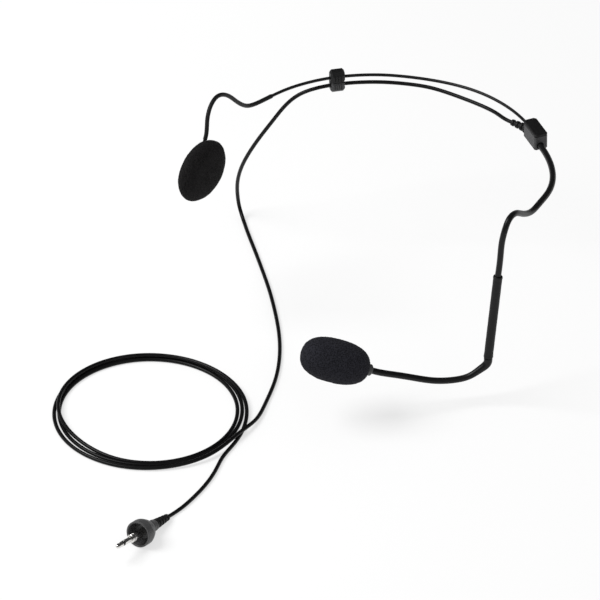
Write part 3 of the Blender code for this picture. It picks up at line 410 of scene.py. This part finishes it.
# The coil's turns: distance from its centre and height, in mm, at steps of 30 degrees
coil_centre = np.array((-47.4, -128.0)) * MM
coil_start, coil_step = 11.0, 30.0
first_turn = [(45.3, 1.8), (44.3, 1.5), (43.8, 0.4), (43.9, 0.0), (44.0, 0.0), (43.5, 0.0)]
first_turn += [(42.9, 0.0), (42.7, 0.0), (42.8, 0.0), (42.8, 0.0), (42.7, 0.0), (42.2, 0.0)]
second_turn = [(41.5, 0.0), (41.3, 0.0), (41.2, 0.0), (41.2, 0.0), (41.2, 0.0), (41.1, 0.0)]
second_turn += [(40.9, 0.0), (40.8, 0.0), (40.9, 0.0), (40.9, 0.0), (40.6, 0.0), (40.0, 0.0)]
third_turn = [(39.5, 0.0), (39.4, 0.0), (39.4, 0.0), (39.2, 0.1), (39.3, 1.0), (40.9, 1.8)]
third_turn += [(42.3, 1.75), (42.5, 1.65), (42.3, 1.6), (42.2, 1.6), (42.7, 1.6), (43.9, 1.1), (44.7, 0.0)]
for step, (reach, height) in enumerate(first_turn + second_turn + third_turn):
    bearing = math.radians(coil_start - coil_step * step)
    spot = coil_centre + reach * MM * np.array((math.cos(bearing), math.sin(bearing)))
    cord_marks.append(np.array((*spot, lying_height + height * MM)))
tail = [(-1.8, -129.0), (-0.6, -139.3), (1.9, -148.6), (4.4, -161.2), (5.2, -173.8), (4.9, -183.4)]
cord_marks += [np.array((x * MM, y * MM, lying_height)) for x, y in tail]

plug_rim = np.array((3.7, -216.5, -77.6)) * MM
plug_axis = unit((-0.015, -0.981, 0.195))
collar_length, body_length, boot_length, play = 9.6, 3.5, 10.5, 0.3
boot_back = -(collar_length + play + body_length + play + boot_length)
cord_marks.append(plug_rim + plug_axis * (boot_back - 3.0) * MM)     # in line with the boot before it
cord_marks.append(plug_rim + plug_axis * (boot_back + 2.0) * MM)     # and inside it
cord_spacing = 1.2 * MM
cord_line = smooth_line(cord_marks, cord_spacing, lying_height)

jacket = Finish("cord_jacket")
die_lines = jacket.streaks(40.0, 0.05)
handled = jacket.noise(9 * MM, 3.0)
jacket.paint(Base_Color=jacket.mix(handled, (0.003, 0.003, 0.0033), (0.006, 0.006, 0.0064)),
             Roughness=0.26 + 0.14 * handled + 0.06 * die_lines, Specular_IOR_Level=0.16)
jacket.bump(die_lines + 0.5 * jacket.noise(0.25 * MM), 0.012 * MM)
cord = skin("cord", swept(cord_line, cord_radius, 14), jacket)
fit(cord, "headband", "cord_black", "cord_run", "cord_coil", "cord_tail")


# ---------------------------------------------------------------------------------------------------
# Plug: turned and moulded round one axis. The boot is ribbed rubber moulded over the cord, the body is
# satin plastic, and the bushing and the pin are bright nickel over brass.
def turned(profile, origin, axis, sides, hint=(1.0, 0.0, 0.0)):
    """Profile of (radius, height) in mm spun round an axis: origin + height axis + radius (cos, sin)."""
    axis = unit(axis)
    first = unit(np.array(hint) - axis * np.dot(hint, axis))
    second = np.cross(axis, first)
    profile = np.array(profile, float) * MM
    turn = np.linspace(0, 2 * math.pi, sides, endpoint=False)[None, :, None]
    spokes = np.cos(turn) * first + np.sin(turn) * second
    return origin + profile[:, 1, None, None] * axis + profile[:, 0, None, None] * spokes


def rounded(corners, radius, steps=4):
    """Profile with each inner corner replaced by a short quadratic curve that starts radius before it."""
    corners = np.array(corners, float)
    apart = np.linalg.norm(np.diff(corners, axis=0), axis=1) > 1e-6
    corners = corners[np.append(True, apart)]
    path = [corners[0]]
    for before, corner, after in zip(corners, corners[1:], corners[2:]):
        room = 0.49 * min(np.linalg.norm(corner - before), np.linalg.norm(after - corner))
        size = min(radius, room)
        start = corner + (before - corner) / np.linalg.norm(before - corner) * size
        stop = corner + (after - corner) / np.linalg.norm(after - corner) * size
        for share in np.linspace(0, 1, steps):
            path.append((1 - share) ** 2 * start + 2 * share * (1 - share) * corner + share ** 2 * stop)
    path.append(corners[-1])
    return path


hair = 0.02     # radius of the tiny flat that closes a turned piece on its axis

soft_rubber = Finish("soft_black_rubber")
bloom = soft_rubber.noise(2.5 * MM, 4.0)
grit = soft_rubber.noise(0.12 * MM, 2.0)
soft_rubber.paint(Base_Color=soft_rubber.mix(bloom, (0.005, 0.005, 0.0052), (0.011, 0.011, 0.0113)),
                  Roughness=0.44 + 0.2 * bloom, Specular_IOR_Level=0.22)
soft_rubber.bump(grit, 0.02 * MM)

boot_front = boot_back + boot_length
rib_count, rib_groove, boot_wide, boot_thin = 5, 0.45, 2.5, 1.6
rib_pitch = boot_length / (2 * rib_count - 1)
boot_corners = [(hair, boot_back), (boot_thin, boot_back)]
for step in range(2 * rib_count - 1):
    height = boot_back + step * rib_pitch
    for end in (height, height + rib_pitch):
        taper = boot_thin + (boot_wide - boot_thin) * (end - boot_back) / boot_length
        boot_corners.append((taper - (rib_groove if step % 2 else 0.0), end))
boot_corners.append((hair, boot_front))
boot = skin("rubber_boot", turned(rounded(boot_corners, 0.14), plug_rim, plug_axis, 40), soft_rubber)
fit(boot, "headband", "rubber_black", "plug_boot")

satin_plastic = Finish("satin_grey_plastic")
moulding = satin_plastic.cells(0.16 * MM)
shade = satin_plastic.noise(3 * MM, 3.0)
satin_plastic.paint(Base_Color=satin_plastic.mix(shade, (0.045, 0.045, 0.046), (0.072, 0.072, 0.073)),
                    Roughness=0.38 + 0.12 * shade, Specular_IOR_Level=0.4)
satin_plastic.bump(moulding, 0.012 * MM)

shoulder = -collar_length - play
body_back = shoulder - body_length
flange_back, flange_front, flange, neck, body_radius = -5.1, -4.0, 3.4, 2.2, 2.75
body_groove = body_radius - 0.18
body_corners = [(hair, body_back), (body_radius - 0.2, body_back), (body_radius, body_back + 0.5)]
body_corners += [(body_radius, body_back + 1.3), (body_groove, body_back + 1.45)]
body_corners += [(body_groove, body_back + 1.8), (body_radius, body_back + 1.95), (body_radius, shoulder)]
body_corners += [(neck, shoulder), (neck, flange_back), (flange, flange_back)]
body_corners += [(flange, flange_front), (hair, flange_front)]
plug_body = skin("plug_barrel", turned(rounded(body_corners, 0.15), plug_rim, plug_axis, 48), satin_plastic)
fit(plug_body, "headband", "plastic_grey", "plug_body")

# Collar: a moulded bell that turns freely on the plug's neck, finely knurled where fingers grip it
collar_radius, collar_wall, collar_depth, collar_straight, collar_back = 6.2, 0.9, 5.4, 4.0, 3.2
collar_bore = neck + play
collar_corners = [(collar_bore, -collar_length), (collar_back, -collar_length)]
collar_corners += [(collar_back + 0.2, 0.6 - collar_length)]
collar_corners += [((collar_back + collar_radius) / 2, -(collar_length + collar_depth) / 2)]
collar_corners += [(collar_radius - 0.5, -collar_depth), (collar_radius, -collar_straight)]
collar_corners += [(collar_radius, 0.0), (collar_radius - collar_wall, 0.0)]
collar_corners += [(collar_radius - collar_wall, 0.2 - collar_straight), (flange + 1.2, -collar_depth)]
collar_corners += [(collar_bore, -collar_depth), (collar_bore, -collar_length)]
collar_profile = np.array(rounded(collar_corners, 0.3, 5))[:-1]
knurl_count, knurl_share, collar_sides = 48, 0.012, 240
collar_grid = turned(collar_profile, plug_rim, plug_axis, collar_sides)
on_outside = (collar_profile[:, 0] > collar_radius - 0.6) & (collar_profile[:, 1] < -0.5)
turn = np.linspace(0, 2 * math.pi * knurl_count, collar_sides, endpoint=False)
teeth = np.where(on_outside, 1.0, 0.0)[:, None] * (0.5 - 0.5 * np.cos(turn))
hub = plug_rim + plug_axis * (collar_profile[:, 1, None] * MM)
spoke = collar_grid - hub[:, None]
collar_grid = hub[:, None] + spoke * (1 - knurl_share * teeth)[:, :, None]
lock_collar = skin("bell_collar", collar_grid, satin_plastic, loop=True)
fit(lock_collar, "collar", "plastic_grey", "lock_collar")

# Bright metal: fine rings left by the lathe, with faint smears
nickel = Finish("bright_nickel")
lathe_rings = nickel.streaks(0.5, 22.0)
smear = nickel.noise(1.2 * MM, 3.0)
nickel.paint(Base_Color=nickel.mix(smear, (0.70, 0.69, 0.67), (0.80, 0.79, 0.77)), Metallic=1.0,
             Roughness=0.10 + 0.10 * smear + 0.06 * lathe_rings)
nickel.bump(lathe_rings, 0.006 * MM)

bushing_front, bushing_radius, pin_bore = 5.9, 2.0, 0.7
bushing_corners = [(pin_bore, flange_front + play), (bushing_radius, flange_front + play)]
bushing_corners += [(bushing_radius, bushing_front - 1.6), (bushing_radius - 0.2, bushing_front - 1.5)]
bushing_corners += [(bushing_radius - 0.2, bushing_front - 1.2), (bushing_radius, bushing_front - 1.1)]
bushing_corners += [(bushing_radius, bushing_front - 0.2), (bushing_radius - 0.25, bushing_front)]
bushing_corners += [(pin_bore, bushing_front), bushing_corners[0]]
bushing_grid = turned(rounded(bushing_corners, 0.08)[:-1], plug_rim, plug_axis, 48)
bushing = skin("plug_bushing", bushing_grid, nickel, loop=True)
fit(bushing, "headband", "nickel", "pin_bushing")

pin_radius, pin_length, tip_length, ring_length = 1.25, 11.3, 4.4, 0.8
pin_back = bushing_front + play
pin_front = pin_back + pin_length
tip_back = pin_front - tip_length
ring_back = tip_back - play - ring_length
contact_front = ring_back - play
contact_corners = [(pin_bore, pin_back), (pin_radius, pin_back), (pin_radius, contact_front)]
contact_corners += [(pin_bore, contact_front), contact_corners[0]]
contact_grid = turned(rounded(contact_corners, 0.06)[:-1], plug_rim, plug_axis, 40)
contact = skin("pin_contact", contact_grid, nickel, loop=True)
fit(contact, "headband", "nickel", "pin_sleeve")
rod_back, rod_radius, tip_waist = flange_front + play + 2.8, 0.4, 0.9
tip_corners = [(hair, rod_back), (rod_radius, rod_back), (rod_radius, tip_back), (pin_radius, tip_back)]
tip_corners += [(pin_radius, tip_back + 0.18 * tip_length), (tip_waist, tip_back + 0.39 * tip_length)]
tip_corners += [(pin_radius, tip_back + 0.59 * tip_length), (tip_waist, pin_front - 0.5)]
tip_corners += [(0.35, pin_front - 0.05), (hair, pin_front)]
tip = skin("pin_end", turned(rounded(tip_corners, 0.25), plug_rim, plug_axis, 40), nickel)
fit(tip, "headband", "nickel", "pin_tip")

insulation = Finish("black_insulation")
clouding = insulation.noise(0.8 * MM)
insulation.paint(Base_Color=insulation.mix(clouding, (0.010, 0.010, 0.010), (0.022, 0.022, 0.022)),
                 Roughness=0.35 + 0.1 * insulation.noise(0.3 * MM))
insulation.bump(insulation.noise(0.1 * MM), 0.01 * MM)
ring_radius = pin_radius - 0.03
ring_corners = [(pin_bore, contact_front), (ring_radius, contact_front), (ring_radius, tip_back)]
ring_corners += [(pin_bore, tip_back), (pin_bore, contact_front)]
ring_grid = turned(rounded(ring_corners, 0.03)[:-1], plug_rim, plug_axis, 40)
insulator = skin("pin_ring", ring_grid, insulation, loop=True)
fit(insulator, "headband", "insulation", "pin_insulator")


# ---------------------------------------------------------------------------------------------------
# Band: one spring wire with a satin black coat, from the plate in the ear pad, over the ear, round behind
# the head and into the block.
satin_coat = Finish("satin_black_coat")
orange_peel = satin_coat.noise(0.5 * MM, 2.0)
rubbed = satin_coat.noise(14 * MM, 4.0)
satin_coat.paint(Base_Color=satin_coat.mix(rubbed, (0.004, 0.004, 0.0042), (0.009, 0.009, 0.0095)),
                 Roughness=0.27 + 0.12 * rubbed + 0.05 * orange_peel, Specular_IOR_Level=0.2)
satin_coat.bump(orange_peel, 0.008 * MM)


def ear_point(side, out, forward, up):
    """Point beside an ear, in mm: out beyond the band's radius, forward of its centre and up."""
    return band_centre + np.array((side * (band_radius + out * MM), -forward * MM, up * MM))


pad_normal = unit((0.991, -0.122, -0.034))
pad_stem = np.array((0.093, 0.512, 0.854))
pad_stem = unit(pad_stem - pad_normal * np.dot(pad_stem, pad_normal))
pad_centre = band_centre + np.array((5.1 * MM - band_radius, -30.1 * MM, -8.3 * MM))
wire_behind_pad = 5.27
pad_foot = pad_centre - pad_normal * wire_behind_pad * MM
wire_marks = [pad_foot + pad_stem * rise * MM for rise in (-5.0, 0.0, 8.0, 15.0)]
over_pad_ear = [(-0.1, 18.7, 11.9), (0.6, 15.4, 16.1), (1.0, 9.0, 18.3), (0.3, 2.5, 15.7)]
over_pad_ear += [(-0.8, -4.5, 8.5), (-1.1, -9.3, 3.8), (-1.4, -14.1, 0.6)]
wire_marks += [ear_point(-1, out, forward, up) for out, forward, up in over_pad_ear]
clip_climb, wire_spread = 0.45, 1.3
for angle, climb in ((-73, -0.8), (-65, -0.2), (-55, 0.3)):
    wire_marks.append(band_point(angle, 0.0, -climb))
for angle in (-47, -38, -29, -20):
    wire_marks.append(band_point(angle, 0.0, -clip_climb))
for angle, share in ((-5, 0.5), (5, 0.8), (14, 0.95), (22, 1.0)):
    wire_marks.append(band_point(angle, -wire_spread * share, -block_climb * share))
wire_marks.append(block_point(-block_end - 1.5, gland_side - 0.2, 0.0))
wire_marks.append(block_point(-block_end + 0.9, gland_side, 0.0))
wire_marks.append(block_point(-1.75, gland_side, 0.0))
tube_spacing = 0.8 * MM
wire_line = smooth_line(wire_marks, tube_spacing)
wire_radius = 0.72 * MM
spring_band = skin("spring_band", swept(wire_line, wire_radius, 14), satin_coat)
fit(spring_band, "headband", "wire_black", "band_wire")

# Sleeve over the ear hook: soft tube pushed over the wire, with its ends slightly thickened
sleeve_start, sleeve_stop = 18.2 * MM, 84.6 * MM
hook_line = stretch(wire_line, sleeve_start, sleeve_stop, 0.7 * MM)
from_end = np.minimum(distances(hook_line), distances(hook_line)[::-1]) / MM
hook_lip, hook_round = np.clip(1 - from_end / 1.5, 0, 1), np.clip(1 - from_end / 0.5, 0, 1) ** 2
hook_outer = (1.00 + 0.08 * hook_lip - 0.25 * hook_round) * MM
hook_grid = np.concatenate([swept(hook_line, hook_outer, 18), swept(hook_line, 0.78 * MM, 18)[::-1]])
hook_sleeve = skin("hook_sleeve", hook_grid, soft_rubber, loop=True)
fit(hook_sleeve, "headband", "rubber_black", "ear_hook_sleeve")


# ---------------------------------------------------------------------------------------------------
# Hook tube: bent metal tube with the same satin coat, from the block over the left ear into the sleeve.
sleeve_top = band_centre + np.array((band_radius - 0.35 * MM, -17.05 * MM, -16.7 * MM))
sleeve_axis = unit((-0.046, -0.110, -0.993))
tube_marks = [block_point(block_end - 3.9, -0.5, -3.5), block_point(block_end + 0.8, -0.5, -3.5)]
past_block = [(47.7, 2.6, 1.1), (55.3, 3.2, 0.6), (62.0, 3.2, 0.1), (68.8, 2.3, -0.5), (74.9, 0.9, -0.9)]
tube_marks += [band_point(angle, -out, drop) for angle, out, drop in past_block]
over_boom_ear = [(-1.1, -13.1, 1.2), (-0.4, -6.5, 3.8), (0.6, 0.1, 8.3), (1.4, 6.9, 12.1), (1.8, 11.7, 11.9)]
over_boom_ear += [(1.7, 14.7, 8.1), (1.0, 16.1, 1.7), (0.4, 16.5, -7.3)]
tube_marks += [ear_point(1, out, forward, up) for out, forward, up in over_boom_ear]
tube_marks += [sleeve_top, sleeve_top + sleeve_axis * 10.0 * MM]
tube_line = smooth_line(tube_marks, tube_spacing)
tube_grid = np.concatenate([swept(tube_line, 1.45 * MM, 24), swept(tube_line, 0.9 * MM, 24)[::-1]])
ear_tube = skin("ear_tube", tube_grid, satin_coat, loop=True)
fit(ear_tube, "headband", "wire_black", "hook_tube")

# Cheek sleeve: a soft straight tube shrunk over the joint, with a rolled lip at each end
cheek_length = 43.5
cheek_lip = np.linspace(0, 3, 16)
cheek_run = np.linspace(3.3, cheek_length - 3.3, 50)
cheek_height = np.concatenate([cheek_lip, cheek_run, cheek_length - 3 + cheek_lip])
near_end = np.minimum(cheek_height, cheek_length - cheek_height)
cheek_radius = 2.10 + 0.10 * np.exp(-((near_end - 0.7) / 0.6) ** 2) - 0.25 * np.exp(-near_end / 0.12)
cheek_radius += 0.015 * np.sin(cheek_height * 0.9) + 0.01 * np.sin(cheek_height * 2.3)
cheek_profile = list(zip(cheek_radius, cheek_height)) + [(1.85, cheek_length), (1.85, 0.0)]
cheek_grid = turned(cheek_profile, sleeve_top, sleeve_axis, 40)
cheek_sleeve = skin("cheek_sleeve", cheek_grid, soft_rubber, loop=True)
fit(cheek_sleeve, "headband", "rubber_black", "boom_sleeve")


# ---------------------------------------------------------------------------------------------------
# Boom: bent tube from below the sleeve to the microphone, coated like the band.
boom_top = sleeve_top + sleeve_axis * (cheek_length + play) * MM
mic_base = boom_top + np.array((-39.9, -39.95, 2.35)) * MM
mic_axis = unit((-0.64, -0.61, 0.40))
boom_marks = [boom_top, sleeve_top + sleeve_axis * (cheek_length + play + 2.4) * MM]
boom_bends = [(-2.3, -2.4, -5.5), (-6.2, -6.1, -8.9), (-11.2, -10.8, -10.1), (-18.4, -18.0, -8.9)]
boom_bends += [(-24.5, -24.1, -6.1), (-30.9, -30.9, -2.7)]
boom_marks += [boom_top + np.array(mark) * MM for mark in boom_bends]
boom_marks += [mic_base + mic_axis * reach * MM for reach in (-5.0, -2.2, 1.7)]
boom_line = smooth_line(boom_marks, tube_spacing)
boom_walked = distances(boom_line) / MM
boom_radius, boom_swell, swell_length = 1.50, 0.48, 15.0     # thicker where it leaves the sleeve
eased = 0.5 + 0.5 * np.cos(np.clip(boom_walked / swell_length, 0, 1) * math.pi)
boom_outer = boom_radius + boom_swell * eased
boom_grid = np.concatenate([swept(boom_line, boom_outer * MM, 26), swept(boom_line, 1.2 * MM, 26)[::-1]])
bent_boom = skin("bent_boom", boom_grid, satin_coat, loop=True)
fit(bent_boom, "boom", "wire_black", "boom_tube")

# Holder: turned plastic collar that the boom's end is glued into and the foam slips over
holder_corners = [(hair, 1.98), (1.85, 2.0), (1.85, -2.2), (2.4, -2.2), (2.7, -1.9), (2.7, 0.6), (2.55, 0.75)]
holder_corners += [(2.55, 1.2), (2.7, 1.35), (2.7, 4.0), (hair, 4.0)]
holder = skin("boom_holder", turned(rounded(holder_corners, 0.12), mic_base, mic_axis, 40), satin_plastic)
fit(holder, "boom", "plastic_grey", "mic_holder")


# ---------------------------------------------------------------------------------------------------
# Foam: open-cell black foam. Its skin is cut, so pores of about half a millimetre show all over. Their walls
# get a painted highlight and the pores a painted shade in the foam's base colour.
def foam_finish(name, dark, light):
    """Painted shade in the pores (dark) and painted highlights on their walls (light), in cells of 0.62 mm,
    under faint patches.
    """
    made = Finish(name)
    pores = made.cells(0.62 * MM)
    fine = made.noise(0.22 * MM, 3.0)
    # mask of the painted highlight on the pore walls; low values give the painted shade in the pores
    painted_wall_highlight = (pores + 0.6 * fine).smooth(0.35, 0.95)
    patch = made.noise(4 * MM, 2.0)
    tone = made.mix(painted_wall_highlight, dark, light)
    made.paint(Base_Color=made.mix(0.35 * patch, tone, dark), Roughness=0.96, Specular_IOR_Level=0.15)
    made.bump(pores + 0.5 * fine, 0.28 * MM)
    return made


def lumpy(shape, across, seed):
    """Smooth random relief over a grid, 0 to 1: random values blurred by a running mean, wrapping round."""
    random = np.random.default_rng(seed)
    relief = random.random(shape)
    for axis in (0, 1):
        kernel = np.hanning(across + 2)[1:-1]
        kernel /= kernel.sum()
        shifts = enumerate(kernel, -(across // 2))
        relief = sum(weight * np.roll(relief, shift, axis) for shift, weight in shifts)
    return (relief - relief.min()) / (relief.max() - relief.min())


# the first colour is the painted shade in the pores, the second the painted highlight on their walls
screen_foam = foam_finish("windscreen_foam", (0.001, 0.001, 0.0018), (0.024, 0.024, 0.031))
screen_length, screen_radius, screen_bore = 32.4, 10.3, 3.3

# Outline: radius (1 - |cos a|^squareness)^bluntness (1 - fullness cos a) at height (1 - cos a) / 2
squareness, bluntness, fullness = 2.27, 0.342, 0.015
swing = np.linspace(0, math.pi, 1200)
reach = (1 - np.abs(np.cos(swing)) ** squareness) ** bluntness
reach = reach * (1 - fullness * np.cos(swing)) * screen_radius
first = int(np.argmax(reach > screen_bore + 0.9))
height = (1 - np.cos(swing)) / 2
height = (height - height[first]) / (1 - height[first]) * screen_length
screen_profile = np.stack([reach, height], axis=1)[first:]
screen_profile[-1] = (hair, screen_length)
screen_walked = distances(screen_profile)
even_steps = np.linspace(0, screen_walked[-1], 150)
screen_outer = np.stack([np.interp(even_steps, screen_walked, side) for side in screen_profile.T], axis=1)
screen_grid = turned(screen_outer, mic_base, mic_axis, 230)
screen_middle = mic_base + mic_axis * 0.55 * screen_length * MM
outwards = screen_grid - screen_middle
outwards /= np.linalg.norm(outwards, axis=2)[:, :, None]
fade = np.clip((screen_outer[:, 0] - 0.3) / 3.0, 0, 1)[:, None]
pits = 0.26 * lumpy(screen_grid.shape[:2], 3, 5) + 0.30 * lumpy(screen_grid.shape[:2], 24, 6)
screen_grid = screen_grid - outwards * (pits * fade)[:, :, None] * MM
bore_profile = [(screen_bore + 0.5, 0.05), (screen_bore, 0.35), (screen_bore, 17.6), (hair, 17.6)]
bore_grid = turned(bore_profile, mic_base, mic_axis, 230)
screen_grid = np.concatenate([bore_grid[::-1], screen_grid])
foam_windscreen = skin("foam_windscreen", screen_grid, screen_foam, crease=80.0)
fit(foam_windscreen, "screen", "foam_black", "windscreen")

# Ear pad: a round foam cushion pulled over the plate like a cap, with a soft crowned face
# the first colour is the painted shade in the pores, the second the painted highlight on their walls
pad_foam = foam_finish("ear_pad_foam", (0.001, 0.0009, 0.001), (0.013, 0.0122, 0.0125))
pad_radius, pad_front, pad_back, plate_radius = 15.4, 4.4, 4.2, 11.0
pad_corners = [(hair, pad_front), (5.1, pad_front - 0.1), (10.3, pad_front - 0.6), (13.6, pad_front - 2.0)]
pad_corners += [(15.0, 0.8), (pad_radius, -0.8), (14.7, -2.8), (13.2, -pad_back), (8.8, -pad_back)]
pad_corners += [(8.8, 1.0 - pad_back), (plate_radius + play, 1.0 - pad_back), (plate_radius + play, -1.2)]
pad_corners.append((hair, -1.2))
pad_profile = np.array(rounded(pad_corners, 2.4, 9))
pad_walked = distances(pad_profile)
pad_steps = np.linspace(0, pad_walked[-1], 190)
pad_outer = np.stack([np.interp(pad_steps, pad_walked, pad_profile[:, k]) for k in range(2)], axis=1)
pad_grid = turned(pad_outer[::-1], pad_centre, pad_normal, 220, pad_stem)
pad_skin = 26.0     # how far along its profile, from the middle of its face, the cut skin goes
pad_fade = np.clip((pad_outer[::-1, 0] - 0.5) / 3.0, 0, 1)[:, None] * (pad_steps[::-1] < pad_skin)[:, None]
pad_out = pad_grid - pad_centre
pad_out /= np.linalg.norm(pad_out, axis=2)[:, :, None]
pad_pits = 0.24 * lumpy(pad_grid.shape[:2], 3, 7) + 0.35 * lumpy(pad_grid.shape[:2], 30, 8)
pad_grid = pad_grid - pad_out * (pad_pits * pad_fade)[:, :, None] * MM
ear_cushion = skin("ear_cushion", pad_grid, pad_foam, crease=80.0)
fit(ear_cushion, "ear_pad", "foam_black", "pad_foam")


# ---------------------------------------------------------------------------------------------------
# Gland: ribbed rubber strain relief, moulded round the cord and held in the block's end wall.
gland_walked = distances(gland_line) / MM
gland_total = gland_walked[-1]
wall_inside, wall_outside = 1.4, 2.3
gland_corners = [(0.25, 0.35), (0.3, 1.2), (wall_inside - play, 1.2), (wall_inside - play, 0.9)]
gland_corners.append((wall_outside + play, 0.9))
gland_rib_count, gland_base, gland_thin, gland_groove = 4, 2.15, 1.5, 0.6
gland_start = wall_outside + play
gland_ribbed = gland_total - gland_start
gland_pitch = gland_ribbed / (2 * gland_rib_count - 1)
for step in range(2 * gland_rib_count - 1):
    start = gland_start + step * gland_pitch
    for end in (start, start + gland_pitch):
        taper = gland_base + (gland_thin - gland_base) * (end - gland_start) / gland_ribbed
        gland_corners.append((end, taper - (gland_groove if step % 2 else 0.0)))
gland_corners.append((gland_total, 0.95))
gland_profile = np.array(rounded(gland_corners, 0.16, 4))
gland_grid = swept(gland_line, gland_profile[:, 1] * MM, 32, gland_profile[:, 0] * MM)
ribbed_gland = skin("ribbed_gland", gland_grid, soft_rubber)
fit(ribbed_gland, "headband", "rubber_black", "cord_gland")


# ---------------------------------------------------------------------------------------------------
# Mouldings that keep their CAD shape: the block's two halves and the clip's two halves in textured
# plastic, the pad's plate, and the small parts inside the block, the sleeve and the microphone.
def textured_finish(name, dark, light, gloss):
    """Moulded plastic with an even spark-eroded grain."""
    made = Finish(name)
    sparks = made.cells(0.34 * MM)
    cloud = made.noise(1.6 * MM, 3.0)
    made.paint(Base_Color=made.mix(cloud, dark, light), Roughness=0.42 + 0.16 * cloud,
               Specular_IOR_Level=gloss)
    made.bump(sparks + 0.5 * made.noise(0.14 * MM), 0.06 * MM)
    return made


black_pair = ((0.003, 0.003, 0.0032), (0.010, 0.010, 0.0104))
grey_pair = ((0.022, 0.022, 0.023), (0.050, 0.050, 0.052))
textured_black = textured_finish("textured_black_plastic", *black_pair, 0.25)
textured_grey = textured_finish("textured_grey_plastic", *grey_pair, 0.35)

# Clip's grip: ribs that run up the clip on its inner and outer faces, moulded with each half
clip_angle = math.radians(-45.0)
clip_outward = np.array((math.sin(clip_angle), math.cos(clip_angle), 0.0))
clip_lengthways = np.array((math.cos(clip_angle), -math.sin(clip_angle), 0.0))
clip_half_width, clip_parting, ribs_half_length = 2.8, -1.65, 2.55
rib_proud, rib_fade, rib_gap = 0.36, 0.5, 0.4


def clip_grip(side, low, high, ribs):
    """Grid of a fluted panel: ribs stand |sin|^0.6 proud of the clip's face and sink into it at both ends."""
    across = np.linspace(-1, 1, 12 * ribs + 1)
    rib = rib_proud * np.abs(np.sin(0.5 * math.pi * ribs * (across + 1))) ** 0.6
    rounding = np.array((0.0, 0.1, 0.3))
    middle = np.linspace(low + rib_fade, high - rib_fade, 6)
    rise = np.concatenate([low + rounding, middle, high - rounding[::-1]])
    fade = np.sqrt(np.clip(np.minimum(rise - low, high - rise) / rib_fade, 0, 1))
    front = clip_half_width - 0.1 + (rib + 0.1) * fade[:, None]
    back = np.full_like(front, clip_half_width - 0.4)
    depth = np.concatenate([front, back], axis=1)[:, :, None] * side
    across = np.concatenate([across, across[::-1]])[None, :, None] * ribs_half_length
    grid = band_centre + (band_radius + depth * MM) * clip_outward + across * MM * clip_lengthways
    grid[:, :, 2] += (rise[:, None] + clip_climb) * MM
    return grid[:, ::-side]


for side, face in ((1, "outer"), (-1, "inner")):
    upper_grid = clip_grip(side, clip_parting + rib_gap, 2.5, 4)
    fit(skin("clip_ribs_upper_" + face, upper_grid, textured_black), "cord_clip", "plastic_black")
    lower_grid = clip_grip(side, -5.7, clip_parting - rib_gap, 5)
    fit(skin("clip_ribs_lower_" + face, lower_grid, textured_grey), "cord_clip", "plastic_grey")

steel = Finish("plated_steel")
brushed = steel.noise(0.3 * MM, 3.0)
steel.paint(Base_Color=steel.mix(brushed, (0.52, 0.52, 0.53), (0.66, 0.66, 0.67)), Metallic=1.0,
            Roughness=0.22 + 0.15 * brushed)
steel.bump(brushed, 0.01 * MM)

board = Finish("circuit_board_green")
tracks = board.cells(0.9 * MM, spread=0.0).smooth(0.28, 0.34)
board.paint(Base_Color=board.mix(tracks, (0.45, 0.24, 0.10), (0.01, 0.09, 0.035)),
            Roughness=0.35 + 0.2 * tracks, Metallic=0.8 - 0.8 * tracks)

felt = Finish("black_felt")
fibres = felt.noise(0.15 * MM, 5.0, 0.7)
felt.paint(Base_Color=felt.mix(fibres, (0.006, 0.006, 0.006), (0.035, 0.034, 0.033)), Roughness=0.98)
felt.bump(fibres, 0.1 * MM)

gauze = Finish("grille_gauze")
holes = gauze.cells(0.4 * MM, spread=0.0).smooth(0.25, 0.33)
gauze.paint(Base_Color=gauze.mix(holes, (0.01, 0.01, 0.01), (0.62, 0.61, 0.60)), Metallic=holes,
            Roughness=0.3 + 0.3 * (1 - holes))
gauze.bump(holes, 0.08 * MM)

kept = [(textured_black, ("block_lid", "clip_upper", "pad_plate"))]
kept += [(textured_grey, ("block_base", "clip_lower")), (insulation, ("boom_bush",))]
kept += [(steel, ("block_screw", "wire_anchor", "boom_stem", "mic_housing", "mic_capsule"))]
kept += [(board, ("capsule_board",)), (felt, ("capsule_felt",)), (gauze, ("mic_grille",))]
for finish, names in kept:
    for name in names:
        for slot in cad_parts[name].material_slots:
            slot.material = finish.material
